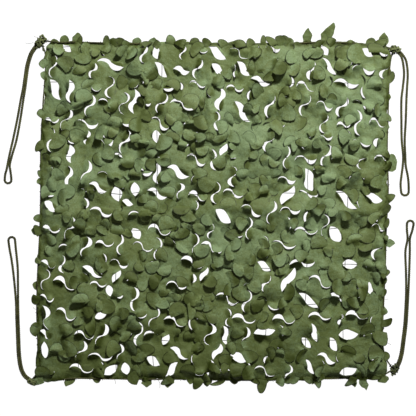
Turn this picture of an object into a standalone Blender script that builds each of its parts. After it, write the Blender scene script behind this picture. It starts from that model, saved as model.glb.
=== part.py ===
"""Camouflage netting, about 1.04 m by 1.01 m, lying flat on z = 0.

One sheet of leaf-cut cloth lies on a wide string net. A rope runs round the edge, a knot holds each
corner, and a doubled tie cord comes out of each knot. +X runs along the top edge and +Y up the left edge.
Lengths are in metres, and in the tables in millimetres from the middle of the net.
"""
import math
import random

import bmesh
import bpy
from mathutils import Vector
from mathutils.geometry import delaunay_2d_cdt

MM = 0.001
TOUCH = 0.3 * MM            # between pieces that touch

NET_WIDTH = 1035 * MM
NET_HEIGHT = 1010 * MM
CORNER_START = 440 * MM     # the rope bends towards its knots past this

CLOTH_THICKNESS = 1.2 * MM
STRING_WIDTH = 2.0 * MM
ROPE_DIAMETER = 5.0 * MM
ROPE_SPACING = 36 * MM      # between the points of its path
CORD_DIAMETER = 6.0 * MM
CORD_SPACING = 17 * MM
BEND_SPACING = 0.6          # of the diameter: the least between the points in a bend
BEND_TURN = math.radians(28)
CURVE_STEPS = 24            # between two points of a route
FLOOR_CLEARANCE = 0.05 * MM

# The cloth is cut in rows of S-shaped cuts, every second one turned a quarter turn.
CUT_ROWS = 19
CUT_COLUMNS = 19
CUT_LENGTH = 76 * MM
CUT_SWING = 14 * MM         # how far a cut swings to each side of its chord
CUT_ROUNDNESS = 0.5         # how steeply the middle and the ends of a cut run, from 0 to 1
ROUND_WIDTH = 8 * MM        # a cut that stands open more than this is less round
LENGTH_RANGE = (0.82, 1.04) # shares of the usual length and swing that the cuts in the rows have
SWING_RANGE = (0.8, 1.15)
CUT_WANDER = 3.5 * MM
CUT_TURN = math.radians(16)
LIP_LIFT = (1 * MM, 15 * MM)
LIP_SINK = (0, 4 * MM)      # of the cloth beside a lifted lip
GAP_COUNT = 216             # the most gaps there may be, the widest first
LEAST_GAP = 4 * MM          # a cut that stands open less than this isn't a gap
WIDEST_CUT = 8.5 * MM       # of the cuts in the rows
WIDTH_FALL = 1.1            # the power by which most of them stand less open than that
SHRINKS = (1.0, 0.85, 0.7)  # a cut with a neighbour in its way is made this much shorter
BRIDGE = 5.5 * MM           # least cloth left between two gaps, and between a gap and the edge
SAMPLE_STEPS = 7            # on each half of a cut, to find what lies near it
MERGE_DISTANCE = 1e-7
CUT_SEED = 26

STRING_CELLS = 9            # cells of the string net along each side
STRING_WANDER = 6 * MM
STRING_INSET = 8 * MM       # from the middle of the rope to the string net's border
STRING_CORNER = 8 * MM      # how much further in its four corners lie
STRING_SEED = 9

CLOTH_REST = 13 * MM        # usual height of the cloth's underside
CLOTH_CEILING = 30 * MM
ROPE_BAND = 66 * MM         # the cloth stays above the rope this far in from it
TUFT_REACH = 24 * MM        # how far the pull of a tie to the string net is felt
POINT_SPACING = 11 * MM     # least, from a point added inside the cloth to any other

HEM = 4 * MM                # the cloth reaches this far past the middle of the rope
HEM_STEP = 48 * MM
HEM_WAVE = 3 * MM
HEM_LIFT = (-1 * MM, 5 * MM)
HEM_SEED = 4

KNOT_MIDDLE_Z = 6 * MM
KNOT_HALF_HEIGHT = 10 * MM
KNOT_RINGS = 10
KNOT_SIDES = 12
KNOT_BLUNTNESS = 0.72       # under 1, the knot is fuller than an egg
KNOT_RIDGE = 0.09           # of its radius
KNOT_TURNS = 2.5

# Where the rope runs on each side: x, y.
ROPE_ROUTES = {
    "top": ((-499.5, 497), (-486, 495), (-462, 493), (-417, 494), (-357, 492), (-252, 489),
            (-132, 490.5), (-12, 489), (108, 489), (228, 490.5), (333, 493.5), (408, 490.5),
            (474, 486), (508, 481), (526.3, 476.5)),
    "right": ((534.1, 458.4), (530, 444), (525, 396), (522, 291), (519, 171), (522, 51), (516, -69),
              (513, -189), (507, -309), (505, -400), (513, -448), (528.6, -475)),
    "bottom": ((-529, -522.7), (-510, -521), (-462, -517.5), (-417, -513), (-312, -514.5),
               (-192, -516), (-72, -516), (48, -519), (168, -519), (288, -516), (393, -513),
               (453, -515), (498, -508), (525.5, -493.8)),
    "left": ((-513.1, 480.6), (-506, 462), (-504, 431), (-507, 381), (-513, 291), (-519, 171),
             (-519, 51), (-522, -69), (-528, -189), (-531, -309), (-528, -414), (-529, -474),
             (-537.6, -513.9)),
}

# The knots: middle x and y, half length, half width, and the way the long axis points, in degrees.
KNOTS = {
    "top_left": (-519, 495, 20, 15, 225),
    "top_right": (541.2, 471, 15, 15, 330),
    "bottom_right": (540, -486, 15.5, 14.5, 48),
    "bottom_left": (-543.3, -523, 14, 11, 150),
}

# The doubled tie cords: x and y of the line between the strands, and half the distance between them.
TIE_ROUTES = {
    "top_left": ((-533.6, 480.4, 3.15), (-542, 469, 3.15), (-550, 454, 3.15), (-559, 423, 3.15),
                 (-564, 390, 3.15), (-569, 354, 3.3), (-575, 321, 3.8), (-585, 261, 4.6),
                 (-597, 201, 5.2), (-608, 159, 4.0), (-615, 126, 3.15), (-617, 108, 4.4),
                 (-617, 92, 7.4), (-617, 79, 6.6), (-617, 71, 0)),
    "top_right": ((555.7, 462.1, 3.15), (563.5, 453, 3.4), (571, 435, 5.2), (575, 399, 5.5),
                  (572, 357, 6.4), (569, 321, 7.5), (568, 261, 6.6), (567, 201, 4.5),
                  (570, 153, 3.15), (570, 123, 4.6), (571, 93, 9.5), (571, 69, 12),
                  (571, 51, 10.6), (572, 39, 6.5), (572, 34, 0)),
    "bottom_right": ((551.3, -472.7, 3.15), (557, -459, 3.15), (563, -434, 3.15), (568, -396, 3.15),
                     (573, -357, 3.15), (576, -315, 3.15), (579, -255, 3.3), (580, -195, 4.8),
                     (580, -135, 6.6), (583, -99, 3.6), (584, -86, 3.5), (586, -70, 6.6),
                     (587, -58, 8.0), (588, -47, 5.8), (588, -41, 0)),
    "bottom_left": ((-555.8, -515.4, 3.15), (-566, -507, 3.15), (-575, -492, 3.15), (-581, -470, 3.15),
                    (-585, -435, 3.15), (-587, -384, 3.15), (-589, -333, 3.15), (-590, -288, 3.15),
                    (-592, -240, 4.8), (-595, -189, 7.2), (-599, -153, 8.3), (-603, -126, 8.6),
                    (-605, -106, 8.0), (-607, -95, 5.2), (-607, -90, 0)),
}

# The widest gaps: x, y, length, width, angle in degrees, and the swing of the S.
WIDE_GAPS = (
    (-441, 476, 36, 20, -40, 0), (-309, 426, 81, 15, -12, 9), (-474, 351, 69, 24, -62, 6),
    (-429, 345, 69, 15, -85, 9), (-238, 315, 72, 18, -92, 10), (-174, 462, 42, 21, -75, 3),
    (-159, 410, 57, 21, -50, 4), (-96, 408, 54, 18, -10, 6), (6, 462, 69, 24, -35, 4),
    (12, 414, 48, 21, -45, 3), (87, 414, 57, 21, -50, 4), (138, 376, 72, 15, -15, 8),
    (18, 322, 72, 18, -90, 10), (84, 285, 78, 21, -52, 6), (330, 468, 36, 21, -60, 0),
    (344, 420, 66, 14, -52, 4), (459, 462, 39, 21, -35, 2), (396, 369, 75, 14, -3, 9),
    (-171, 210, 39, 26, -90, 0), (-171, 100, 66, 15, -84, 8), (-108, 105, 72, 21, -22, 8),
    (28, 171, 42, 18, 58, 2), (-171, 40, 63, 15, -18, 8), (27, -27, 60, 28, -42, 3),
    (284, 81, 72, 27, -72, 6), (220, 36, 72, 26, 55, 4), (394, 21, 81, 21, -40, 6),
    (477, 27, 54, 24, -20, 3), (-488, 2, 48, 20, -40, 3), (-429, 158, 54, 18, -88, 6),
    (-434, 90, 66, 15, -86, 8), (-346, 58, 60, 15, -20, 8), (-291, 39, 45, 33, -75, 0),
    (-258, 14, 36, 18, -20, 2), (-236, 52, 42, 27, -88, 0), (-232, -80, 39, 27, -60, 0),
    (362, -81, 54, 32, -58, 2), (406, -172, 42, 27, -8, 2), (222, -216, 84, 21, 62, 6),
    (282, -279, 72, 21, -38, 3), (150, -177, 48, 21, -35, 3), (-291, -206, 45, 18, 58, 2),
    (-312, -249, 33, 22, -80, 0), (-30, -201, 48, 15, 62, 3), (-364, -194, 66, 14, -28, 6),
    (-338, -324, 36, 21, 15, 0), (-506, -426, 51, 21, -88, 0), (-308, -488, 51, 24, 35, 2),
    (-264, -483, 36, 27, -80, 0), (-144, -396, 36, 21, 60, 0), (-105, -436, 63, 15, -32, 6),
    (-180, -460, 45, 24, -35, 2), (-126, -484, 60, 20, 50, -3), (34, -384, 60, 16, -78, 6),
    (10, -432, 63, 18, 62, 6), (74, -450, 54, 27, -20, 2), (150, -372, 66, 21, 8, 4),
    (298, -375, 57, 15, -75, 4), (276, -406, 39, 18, -50, 2), (336, -453, 60, 14, -18, 9),
    (356, -411, 45, 21, -65, 2), (402, -382, 60, 30, 3, 2), (400, -489, 51, 24, 15, 2),
    (285, -477, 51, 14, -60, 3), (464, -242, 36, 16, -85, 0),
)

# Leaf tips that stand out past the edge: place along the side, half width, reach past the rope,
# how far the tip leans along the side, and the half width of the tip.
LEAF_TIPS = {
    "top": ((-475, 12, 10, -4, 6), (-448, 14, 21, 0, 8), (-411, 16, 28, 5, 2), (-303, 16, 17, 2, 7),
            (-267, 11, 11, 0, 4), (-231, 14, 20, 0, 8), (-183, 13, 18, 3, 3), (-84, 15, 8, 0, 8),
            (60, 14, 9, -3, 7), (222, 15, 17, 0, 8), (279, 15, 44, 4, 2), (333, 18, 58, 26, 2),
            (411, 13, 12, 0, 6), (469, 15, 21, 3, 9), (508, 15, 44, 2, 3)),
    "right": ((408, 12, 10, -3, 4), (330, 13, 9, 0, 7), (240, 12, 8, 0, 6), (132, 27, 27, 0, 19),
              (21, 13, 11, 0, 6), (-108, 14, 26, 0, 3), (-219, 14, 10, 0, 7), (-309, 13, 14, -5, 3),
              (-402, 14, 18, 9, 2)),
    "bottom": ((502, 16, 26, 14, 10), (446, 13, 36, 10, 3), (412, 14, 26, 12, 3), (300, 13, 15, -6, 3),
               (216, 15, 13, 3, 8), (150, 14, 16, 0, 6), (60, 13, 13, 0, 4), (-18, 14, 20, -4, 7),
               (-70, 12, 16, -2, 5), (-132, 15, 24, -8, 6), (-201, 16, 25, -3, 3), (-351, 12, 14, 0, 7),
               (-430, 16, 21, -12, 5)),
    "left": ((-414, 10, 7, 0, 4), (-360, 15, 21, 0, 9), (-237, 13, 15, 4, 3), (-150, 12, 8, 0, 6),
             (-72, 13, 26, 3, 2), (78, 12, 13, 0, 7), (177, 12, 15, 0, 3), (291, 12, 8, 0, 6),
             (393, 12, 15, 6, 3)),
}

# A leaf tip's outline: the part whose width it takes, the hand, and the shares of its reach and of its lean.
TIP_SHAPE = (
    ("foot", -1, 0, 0), ("belly", -1, 0.5, 0.3), ("shoulder", -1, 0.85, 0.8), ("point", 0, 1, 1),
    ("shoulder", 1, 0.82, 0.8), ("belly", 1, 0.47, 0.3), ("foot", 1, 0, 0),
)
WIDE_FOOT = 1.25            # of its half width, where it stands out least
SLIM_FOOT = 0.85            # where it stands out as far as a long tip, or further
LONG_TIP = 30 * MM
LEAST_SHOULDER = 0.42       # of its half width
TIP_CLEARANCE = 9 * MM      # between the hem's waves and a tip

# Where the cloth's edge starts and ends on each side, clear of the knots.
CLOTH_SPANS = {"top": (-490, 524), "right": (436, -450), "bottom": (514, -512), "left": (-482, 456)}

# Folds left from packing: start x and y, end x and y, height and half width of the ridge.
FOLDS = (
    (-520, -18, 510, -24, 9, 20),
    (-12, 400, -9, 205, 7, 13),
    (-300, 260, -140, 150, 6, 22),
    (160, 140, 420, 250, 6, 26),
    (-420, -260, -200, -330, 7, 24),
    (120, -120, 330, -190, 6, 22),
)
FOLD_FADE = 6               # how steeply a fold runs out at its ends

# How far the slack cloth is pulled aside: across and up, the wavelengths along x and y, and the phase
# in turns.
DRIFTS = (
    (5, 2, 900, 230, 0.1),
    (3, -3.5, 170, 140, 0.4),
    (-2, 5, 240, 610, 0.7),
    (2.5, 2.5, -130, 210, 0.2),
)

# Slow waves of the loose cloth: height, wavelength, direction and phase, in degrees.
SWELLS = (
    (2.4, 380, 35, 70),
    (2.0, 290, 118, 200),
    (1.5, 205, 75, 20),
    (1.2, 150, 160, 310),
)

# Colour, roughness of the materials.
FINISHES = {
    "leaf_cloth": ((0.110, 0.150, 0.060), 0.85),
    "string": ((0.060, 0.070, 0.040), 0.80),
    "cord": ((0.085, 0.085, 0.045), 0.75),
}


def clear_scene():
    for item in list(bpy.data.objects):
        bpy.data.objects.remove(item, do_unlink=True)


def finish(name):
    """The named material, made the first time it is asked for."""
    if name in bpy.data.materials:
        return bpy.data.materials[name]
    colour, roughness = FINISHES[name]
    material = bpy.data.materials.new(name)
    material.use_nodes = True
    shader = material.node_tree.nodes["Principled BSDF"]
    shader.inputs["Base Color"].default_value = (*colour, 1.0)
    shader.inputs["Roughness"].default_value = roughness
    shader.inputs["Metallic"].default_value = 0.0
    return material


def add_object(name, data, material):
    item = bpy.data.objects.new(name, data)
    data.materials.append(finish(material))
    bpy.context.scene.collection.objects.link(item)
    return item


def metres(row):
    return tuple(value * MM for value in row)


# ---------------------------------------------------------------- the edge, as lines in the plane

def line_value(rows, at, key, other):
    """Linear value of one column of a table at a place in another column."""
    rows = sorted(rows, key=lambda row: row[key])
    for low, high in zip(rows, rows[1:]):
        if at <= high[key]:
            break
    share = (at - low[key]) / (high[key] - low[key])
    return low[other] + share * (high[other] - low[other])


ROPES = {side: [metres(row) for row in rows] for side, rows in ROPE_ROUTES.items()}


def rope_point(side, along):
    """The point of a side's rope at a place along that side."""
    if side in ("top", "bottom"):
        return Vector((along, line_value(ROPES[side], along, 0, 1)))
    return Vector((line_value(ROPES[side], along, 1, 0), along))


OUTWARD = {"top": Vector((0, 1)), "right": Vector((1, 0)),
           "bottom": Vector((0, -1)), "left": Vector((-1, 0))}


def inward_distance(point):
    """How far a point lies inside the rope, on the side where it lies nearest."""
    distances = []
    for side, out in OUTWARD.items():
        along = point[0] if side in ("top", "bottom") else point[1]
        distances.append((rope_point(side, along) - Vector(point[:2])).dot(out))
    return min(distances)


def net_point(across, up, inset=0.0):
    """The point at the given shares of the net's width and height, inside its uneven edge."""
    x_along = max(-CORNER_START, min(CORNER_START, (across - 0.5) * NET_WIDTH))
    y_along = max(-CORNER_START, min(CORNER_START, (up - 0.5) * NET_HEIGHT))
    left = rope_point("left", y_along).x + inset
    right = rope_point("right", y_along).x - inset
    low = rope_point("bottom", x_along).y + inset
    high = rope_point("top", x_along).y - inset
    return Vector((left + across * (right - left), low + up * (high - low)))


def tip_stops(tip, way):
    """A leaf tip's outline, as places along the side and reaches past the rope."""
    place, half, reach, lean, blunt = tip
    widths = {
        "foot": half * (WIDE_FOOT - (WIDE_FOOT - SLIM_FOOT) * min(1.0, reach / LONG_TIP)),
        "belly": half,
        "shoulder": max(blunt, LEAST_SHOULDER * half),
        "point": 0.0,
    }
    return [(place + lean_share * lean + way * hand * widths[part], max(HEM, reach_share * reach))
            for part, hand, reach_share, lean_share in TIP_SHAPE]


def cloth_outline():
    """The cloth's edge, clockwise from the top left: a wavy hem along the rope, with leaf tips."""
    rng = random.Random(HEM_SEED)
    points = []
    for side in ("top", "right", "bottom", "left"):
        start, end = metres(CLOTH_SPANS[side])
        way = 1 if end > start else -1
        tips = [metres(row) for row in LEAF_TIPS[side]]
        groups = [(tip[0], tip_stops(tip, way)) for tip in tips]
        count = round(abs(end - start) / HEM_STEP)
        for step in range(count + 1):
            place = start + (end - start) * step / count
            wave = rng.uniform(-HEM_WAVE, HEM_WAVE)
            if all(abs(place - tip[0]) > tip[1] + TIP_CLEARANCE for tip in tips):
                groups.append((place, [(place, HEM + wave)]))
        groups.sort(key=lambda group: way * group[0])
        for _, stops in groups:
            points.extend(rope_point(side, place) + OUTWARD[side] * reach for place, reach in stops)
    return points


# ---------------------------------------------------------------- the cuts

class Cut:
    """One S-shaped cut and the gap that it stands open to."""

    def __init__(self, middle, length, width, angle, swing, lifts):
        self.middle = middle
        self.half = length / 2
        self.width = width
        self.swing = swing
        self.angle = angle
        self.along = Vector((math.cos(angle), math.sin(angle)))
        self.across = Vector((-self.along.y, self.along.x))
        self.lifts = lifts
        self.roundness = CUT_ROUNDNESS * ROUND_WIDTH / max(width, ROUND_WIDTH)

    def shrunk(self, share):
        return Cut(self.middle, 2 * self.half * share, self.width, self.angle, self.swing * share,
                   self.lifts)

    def point(self, share, side):
        """A point of a lip: share runs from -1 to 1 along the cut, side is -1, 0 or 1."""
        travel = share - self.roundness * math.sin(2 * math.pi * share) / (2 * math.pi)
        swing = -self.swing * math.sin(math.pi * share)
        open_by = side * 0.5 * self.width * (1 - share * share)
        return self.middle + self.along * (travel * self.half) + self.across * (swing + open_by)

    def lips(self):
        """The gap's outline, counterclockwise, and how far each of its points is lifted."""
        low, high, sunk = self.lifts
        lower = [(self.point(share, -1), lift) for share, lift in ((-0.5, low), (0.0, 0.0), (0.5, sunk))]
        upper = [(self.point(share, 1), lift) for share, lift in ((0.5, high), (0.0, 0.0), (-0.5, sunk))]
        return [(self.point(-1, 0), 0.0), *lower, (self.point(1, 0), 0.0), *upper]

    def samples(self):
        return [self.point(step / SAMPLE_STEPS, side)
                for step in range(-SAMPLE_STEPS, SAMPLE_STEPS + 1) for side in (-1, 1)]


def leaf_lifts(rng):
    """How far a cut's two leaves stand up, and how far the cloth behind them sinks."""
    return rng.uniform(*LIP_LIFT), rng.uniform(*LIP_LIFT), -rng.uniform(*LIP_SINK)


def near(first, second, distance):
    """Whether the samples of two cuts come closer than a distance."""
    if (first.middle - second.middle).length > first.half + second.half + distance + 2 * CUT_SWING:
        return False
    return any((a - b).length < distance for a in first.samples() for b in second.samples())


def inside(point, outline):
    """Whether a point lies inside a closed outline."""
    odd = False
    for a, b in zip(outline, outline[1:] + outline[:1]):
        if (a.y > point.y) != (b.y > point.y):
            if point.x < a.x + (point.y - a.y) * (b.x - a.x) / (b.y - a.y):
                odd = not odd
    return odd


def edge_distance(point, outline):
    """The distance from a point to a closed outline."""
    nearest = 1.0
    for a, b in zip(outline, outline[1:] + outline[:1]):
        run = b - a
        share = min(1.0, max(0.0, (point - a).dot(run) / run.length_squared))
        nearest = min(nearest, (point - a - run * share).length)
    return nearest


def fits(cut, others, outline):
    """Whether enough cloth is left between a cut, the others and the edge."""
    if any(near(cut, other, BRIDGE) for other in others):
        return False
    return all(inside(p, outline) and edge_distance(p, outline) > BRIDGE for p in cut.samples())


def drift(place):
    """How far the slack cloth is pulled aside at a place."""
    pulled = Vector((0.0, 0.0))
    for across, up, x_wave, y_wave, phase in DRIFTS:
        turns = place.x / (x_wave * MM) + place.y / (y_wave * MM) + phase
        pulled += Vector((across, up)) * MM * math.sin(2 * math.pi * turns)
    return pulled


def open_gaps(outline):
    """The gaps that are cut through: the wide ones where they lie, then the widest of the rows."""
    rng = random.Random(CUT_SEED)
    candidates = []
    for row in WIDE_GAPS:
        x, y, length, width, angle, swing = row
        candidates.append(Cut(Vector((x, y)) * MM, length * MM, width * MM, math.radians(angle),
                              swing * MM, leaf_lifts(rng)))
    regular = []
    for row in range(CUT_ROWS):
        for column in range(CUT_COLUMNS):
            middle = net_point((column + 0.5) / CUT_COLUMNS, (row + 0.5) / CUT_ROWS)
            middle += Vector((rng.uniform(-1, 1), rng.uniform(-1, 1))) * CUT_WANDER + drift(middle)
            angle = rng.uniform(-1, 1) * CUT_TURN - (math.pi / 2 if (row + column) % 2 else 0)
            width = WIDEST_CUT * rng.random() ** WIDTH_FALL
            length = CUT_LENGTH * rng.uniform(*LENGTH_RANGE)
            swing = CUT_SWING * rng.uniform(*SWING_RANGE)
            regular.append(Cut(middle, length, width, angle, swing, leaf_lifts(rng)))
    regular.sort(key=lambda cut: -cut.width)
    gaps = []
    for cut in candidates + regular:
        if len(gaps) == GAP_COUNT or cut.width < LEAST_GAP:
            break
        versions = (cut.shrunk(share) for share in SHRINKS)
        fitting = next((version for version in versions if fits(version, gaps, outline)), None)
        if fitting:
            gaps.append(fitting)
    return gaps


# ---------------------------------------------------------------- the cloth's height

def fold_height(x, y):
    """Height that the folds add at a point."""
    total = 0.0
    for fold in FOLDS:
        x0, y0, x1, y1, height, half_width = metres(fold)
        run = Vector((x1 - x0, y1 - y0))
        share = (Vector((x, y)) - Vector((x0, y0))).dot(run) / run.length_squared
        off = (Vector((x, y)) - Vector((x0, y0)) - run * share).length
        fade = min(1.0, max(0.0, 0.5 + FOLD_FADE * min(share, 1 - share)))
        total += height * fade * math.exp(-((off / half_width) ** 2))
    return total


def swell(x, y):
    """The slow rise and fall of the loose cloth."""
    total = 0.0
    for height, wavelength, direction, start in SWELLS:
        travel = x * math.cos(math.radians(direction)) + y * math.sin(math.radians(direction))
        total += height * MM * math.sin(2 * math.pi * travel / (wavelength * MM) + math.radians(start))
    return total


def underside(point, lift, tufts):
    """Height of the cloth's underside at a point, above the rope, the strings and the floor."""
    height = CLOTH_REST + swell(*point) + fold_height(*point) + lift
    floor = STRING_WIDTH + TOUCH
    pull = max(math.exp(-(((point - tuft).length / TUFT_REACH) ** 2)) for tuft in tufts)
    height += (floor - height) * pull
    if inward_distance(point) < ROPE_BAND:
        floor = ROPE_DIAMETER + TOUCH
    return min(max(height, floor), CLOTH_CEILING)


# ---------------------------------------------------------------- flat pieces with holes

def plate(name, rings, extra, height_at, thickness, material):
    """A closed sheet: the first ring is its outline, the others are holes, and extra points lie inside.

    Each point is a pair of a place and a lift, and height_at gives the height of its underside.
    """
    points = [item for ring in rings for item in ring] + extra
    edges = []
    holes = []
    start = 0
    for ring in rings:
        indices = list(range(start, start + len(ring)))
        edges += list(zip(indices, indices[1:] + indices[:1]))
        holes.append(indices)
        start += len(ring)
    result = delaunay_2d_cdt([place for place, _ in points], edges, holes[1:], 1, MERGE_DISTANCE)
    places, _, faces, origin, _, face_origin = result
    kept = [face for face, came_from in zip(faces, face_origin) if not came_from]
    lift_of = [points[sources[0]][1] for sources in origin]

    mesh_points = bmesh.new()
    low = []
    high = []
    for place, lift in zip(places, lift_of):
        z = height_at(place, lift)
        low.append(mesh_points.verts.new((place.x, place.y, z)))
        high.append(mesh_points.verts.new((place.x, place.y, z + thickness)))
    sides = {}
    for face in kept:
        mesh_points.faces.new([high[index] for index in face])
        mesh_points.faces.new([low[index] for index in reversed(face)])
        sides.update(dict.fromkeys(zip(face, face[1:] + face[:1])))
    for a, b in sides:
        if (b, a) not in sides:
            mesh_points.faces.new([high[b], high[a], low[a], low[b]])
    loose = [vert for vert in mesh_points.verts if not vert.link_faces]
    bmesh.ops.delete(mesh_points, geom=loose, context="VERTS")
    bmesh.ops.triangulate(mesh_points, faces=mesh_points.faces[:])
    bmesh.ops.recalc_face_normals(mesh_points, faces=mesh_points.faces[:])
    mesh = bpy.data.meshes.new(name)
    mesh_points.to_mesh(mesh)
    mesh_points.free()
    return add_object(name, mesh, material)


def string_nodes():
    """Where the strings of the net cross, row by row from the bottom left."""
    rng = random.Random(STRING_SEED)
    nodes = []
    for row in range(STRING_CELLS + 1):
        line = []
        for column in range(STRING_CELLS + 1):
            place = net_point(column / STRING_CELLS, row / STRING_CELLS, STRING_INSET)
            if 0 < row < STRING_CELLS and 0 < column < STRING_CELLS:
                place += Vector((rng.uniform(-1, 1), rng.uniform(-1, 1))) * STRING_WANDER
            if row in (0, STRING_CELLS) and column in (0, STRING_CELLS):
                place -= Vector((math.copysign(1, place.x), math.copysign(1, place.y))) * STRING_CORNER
            line.append(place)
        nodes.append(line)
    return nodes


def offset_ring(corners, distance):
    """A counterclockwise ring of corners, moved inwards by a distance."""
    moved = []
    count = len(corners)
    for index, corner in enumerate(corners):
        before = (corner - corners[index - 1]).normalized()
        after = (corners[(index + 1) % count] - corner).normalized()
        normal = Vector((-before.y - after.y, before.x + after.x)) / 2
        moved.append(corner + normal * (distance / normal.length_squared))
    return moved


def make_string_net(nodes):
    """The wide net under the cloth: flat strings, fused where they cross."""
    last = STRING_CELLS
    border = [nodes[0][column] for column in range(last)]
    border += [nodes[row][last] for row in range(last)]
    border += [nodes[last][column] for column in range(last, 0, -1)]
    border += [nodes[row][0] for row in range(last, 0, -1)]
    rings = [[(place, 0.0) for place in offset_ring(border, -STRING_WIDTH / 2)]]
    for row in range(last):
        for column in range(last):
            cell = [nodes[row][column], nodes[row][column + 1],
                    nodes[row + 1][column + 1], nodes[row + 1][column]]
            rings.append([(place, 0.0) for place in offset_ring(cell, STRING_WIDTH / 2)])
    plate("string_net", rings, [], lambda place, lift: 0.0, STRING_WIDTH, "string")


def make_cloth(outline, gaps, tufts):
    """The leaf-cut cloth, with its open gaps, folds and lifted leaves."""
    rng = random.Random(HEM_SEED)
    rings = [[(place, rng.uniform(*HEM_LIFT)) for place in outline]]
    rings += [gap.lips() for gap in gaps]
    taken = [place for ring in rings for place, _ in ring]
    extra = []
    leaf_middles = [net_point(column / CUT_COLUMNS, row / CUT_ROWS)
                    for row in range(1, CUT_ROWS) for column in range(1 + row % 2, CUT_COLUMNS, 2)]
    for place in tufts + leaf_middles:
        clear = all((place - other).length > POINT_SPACING for other in taken)
        if clear and not any(inside(place, [p for p, _ in ring]) for ring in rings[1:]):
            extra.append((place, 0.0))
            taken.append(place)
    plate("leaf_cloth", rings, extra, lambda place, lift: underside(place, lift, tufts),
          CLOTH_THICKNESS, "leaf_cloth")


# ---------------------------------------------------------------- ropes, knots and ties

def smooth_path(points, diameter, spacing):
    """Points read from a smooth curve through the route, closer together in its bends."""
    ends = [points[0] * 2 - points[1], *points, points[-1] * 2 - points[-2]]
    fine = []
    for a, b, c, d in zip(ends, ends[1:], ends[2:], ends[3:]):
        for step in range(CURVE_STEPS):
            t = step / CURVE_STEPS
            fine.append(0.5 * (2 * b + (c - a) * t + (2 * a - 5 * b + 4 * c - d) * t * t
                               + (3 * b - a - 3 * c + d) * t ** 3))
    fine.append(points[-1])
    path = [fine[0]]
    travelled = 0.0
    turned = 0.0
    for before, here, after in zip(fine, fine[1:], fine[2:]):
        travelled += (here - before).length
        turned += (here - before).angle(after - here, 0.0)
        if travelled > spacing or (turned > BEND_TURN and travelled > BEND_SPACING * diameter):
            path.append(here)
            travelled = 0.0
            turned = 0.0
    if (path[-1] - fine[-1]).length < diameter:
        path.pop()
    return path + [fine[-1]]


def make_tube(name, points, diameter, spacing):
    """A round cord along a path that lies on the floor, with closed ends."""
    curve = bpy.data.curves.new(name, "CURVE")
    curve.dimensions = "3D"
    curve.bevel_depth = diameter / 2
    curve.bevel_resolution = 2
    curve.use_fill_caps = True
    spline = curve.splines.new("POLY")
    path = smooth_path(points, diameter, spacing)
    spline.points.add(len(path) - 1)
    for target, place in zip(spline.points, path):
        target.co = (place.x, place.y, diameter / 2 + FLOOR_CLEARANCE, 1.0)
    return add_object(name, curve, "cord")


def tie_points(rows):
    """The route of a doubled cord, out along one strand, round its loop and back along the other."""
    middle = [Vector((x, y, 0.0)) * MM for x, y, _ in rows]
    out = []
    back = []
    for index, (place, row) in enumerate(zip(middle, rows)):
        run = middle[min(index + 1, len(rows) - 1)] - middle[max(index - 1, 0)]
        side = Vector((-run.y, run.x, 0.0)).normalized() * (row[2] * MM)
        out.append(place + side)
        back.append(place - side)
    return out + back[-2::-1]


def make_knot(name, row):
    """A knot of wound cord, with slanting ridges for its turns and a flat underside."""
    x, y, half_length, half_width = metres(row[:4])
    angle = math.radians(row[4])
    along = Vector((math.cos(angle), math.sin(angle), 0.0))
    across = Vector((-along.y, along.x, 0.0))
    knot = bmesh.new()
    middle = Vector((x, y, KNOT_MIDDLE_Z))
    loops = []
    for ring in range(1, KNOT_RINGS):
        tilt = math.pi * (ring / KNOT_RINGS - 0.5)
        reach = math.copysign(abs(math.sin(tilt)) ** KNOT_BLUNTNESS, tilt)
        loop = []
        for side in range(KNOT_SIDES):
            turn = 2 * math.pi * side / KNOT_SIDES
            wave = 1 + KNOT_RIDGE * math.cos(KNOT_TURNS * math.pi * reach + turn) * (1 - reach ** 4)
            radius = math.cos(tilt) ** KNOT_BLUNTNESS * wave
            place = middle + along * (reach * half_length)
            place += across * (radius * half_width * math.cos(turn))
            place.z += radius * KNOT_HALF_HEIGHT * math.sin(turn)
            place.z = max(place.z, 0.0)
            loop.append(knot.verts.new(place))
        loops.append(loop)
    for first, second in zip(loops, loops[1:]):
        for a in range(KNOT_SIDES):
            b = (a + 1) % KNOT_SIDES
            knot.faces.new((first[a], first[b], second[b], second[a]))
    for loop, way in ((loops[0], -1), (loops[-1], 1)):
        pole = knot.verts.new(middle + along * (way * half_length))
        for a in range(KNOT_SIDES):
            knot.faces.new((loop[a], loop[(a + 1) % KNOT_SIDES], pole))
    bmesh.ops.triangulate(knot, faces=knot.faces[:])
    bmesh.ops.recalc_face_normals(knot, faces=knot.faces[:])
    mesh = bpy.data.meshes.new(name)
    knot.to_mesh(mesh)
    knot.free()
    mesh.shade_smooth()
    add_object(name, mesh, "cord")


def main():
    clear_scene()
    outline = cloth_outline()
    nodes = string_nodes()
    make_string_net(nodes)
    make_cloth(outline, open_gaps(outline), [place for line in nodes[1:-1] for place in line[1:-1]])
    for side, rows in ROPE_ROUTES.items():
        make_tube("edge_rope_" + side, [Vector((x, y, 0.0)) * MM for x, y in rows], ROPE_DIAMETER,
                  ROPE_SPACING)
    for corner, row in KNOTS.items():
        make_knot("knot_" + corner, row)
    for corner, rows in TIE_ROUTES.items():
        make_tube("tie_" + corner, tie_points(rows), CORD_DIAMETER, CORD_SPACING)


main()
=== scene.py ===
"""Camouflage netting: the leaf-cut cloth, its string net, the laid edge ropes, the knots and the tie cords.

Run as a script, it registers a small add-on and calls its operators in order. Panel sizes are metres, and the
tables are millimetres from the middle of the net, +X along the top edge and +Y up the left edge.
"""
import math
import random

import bpy
import numpy as np
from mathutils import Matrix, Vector, noise
from mathutils.geometry import delaunay_2d_cdt


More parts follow.
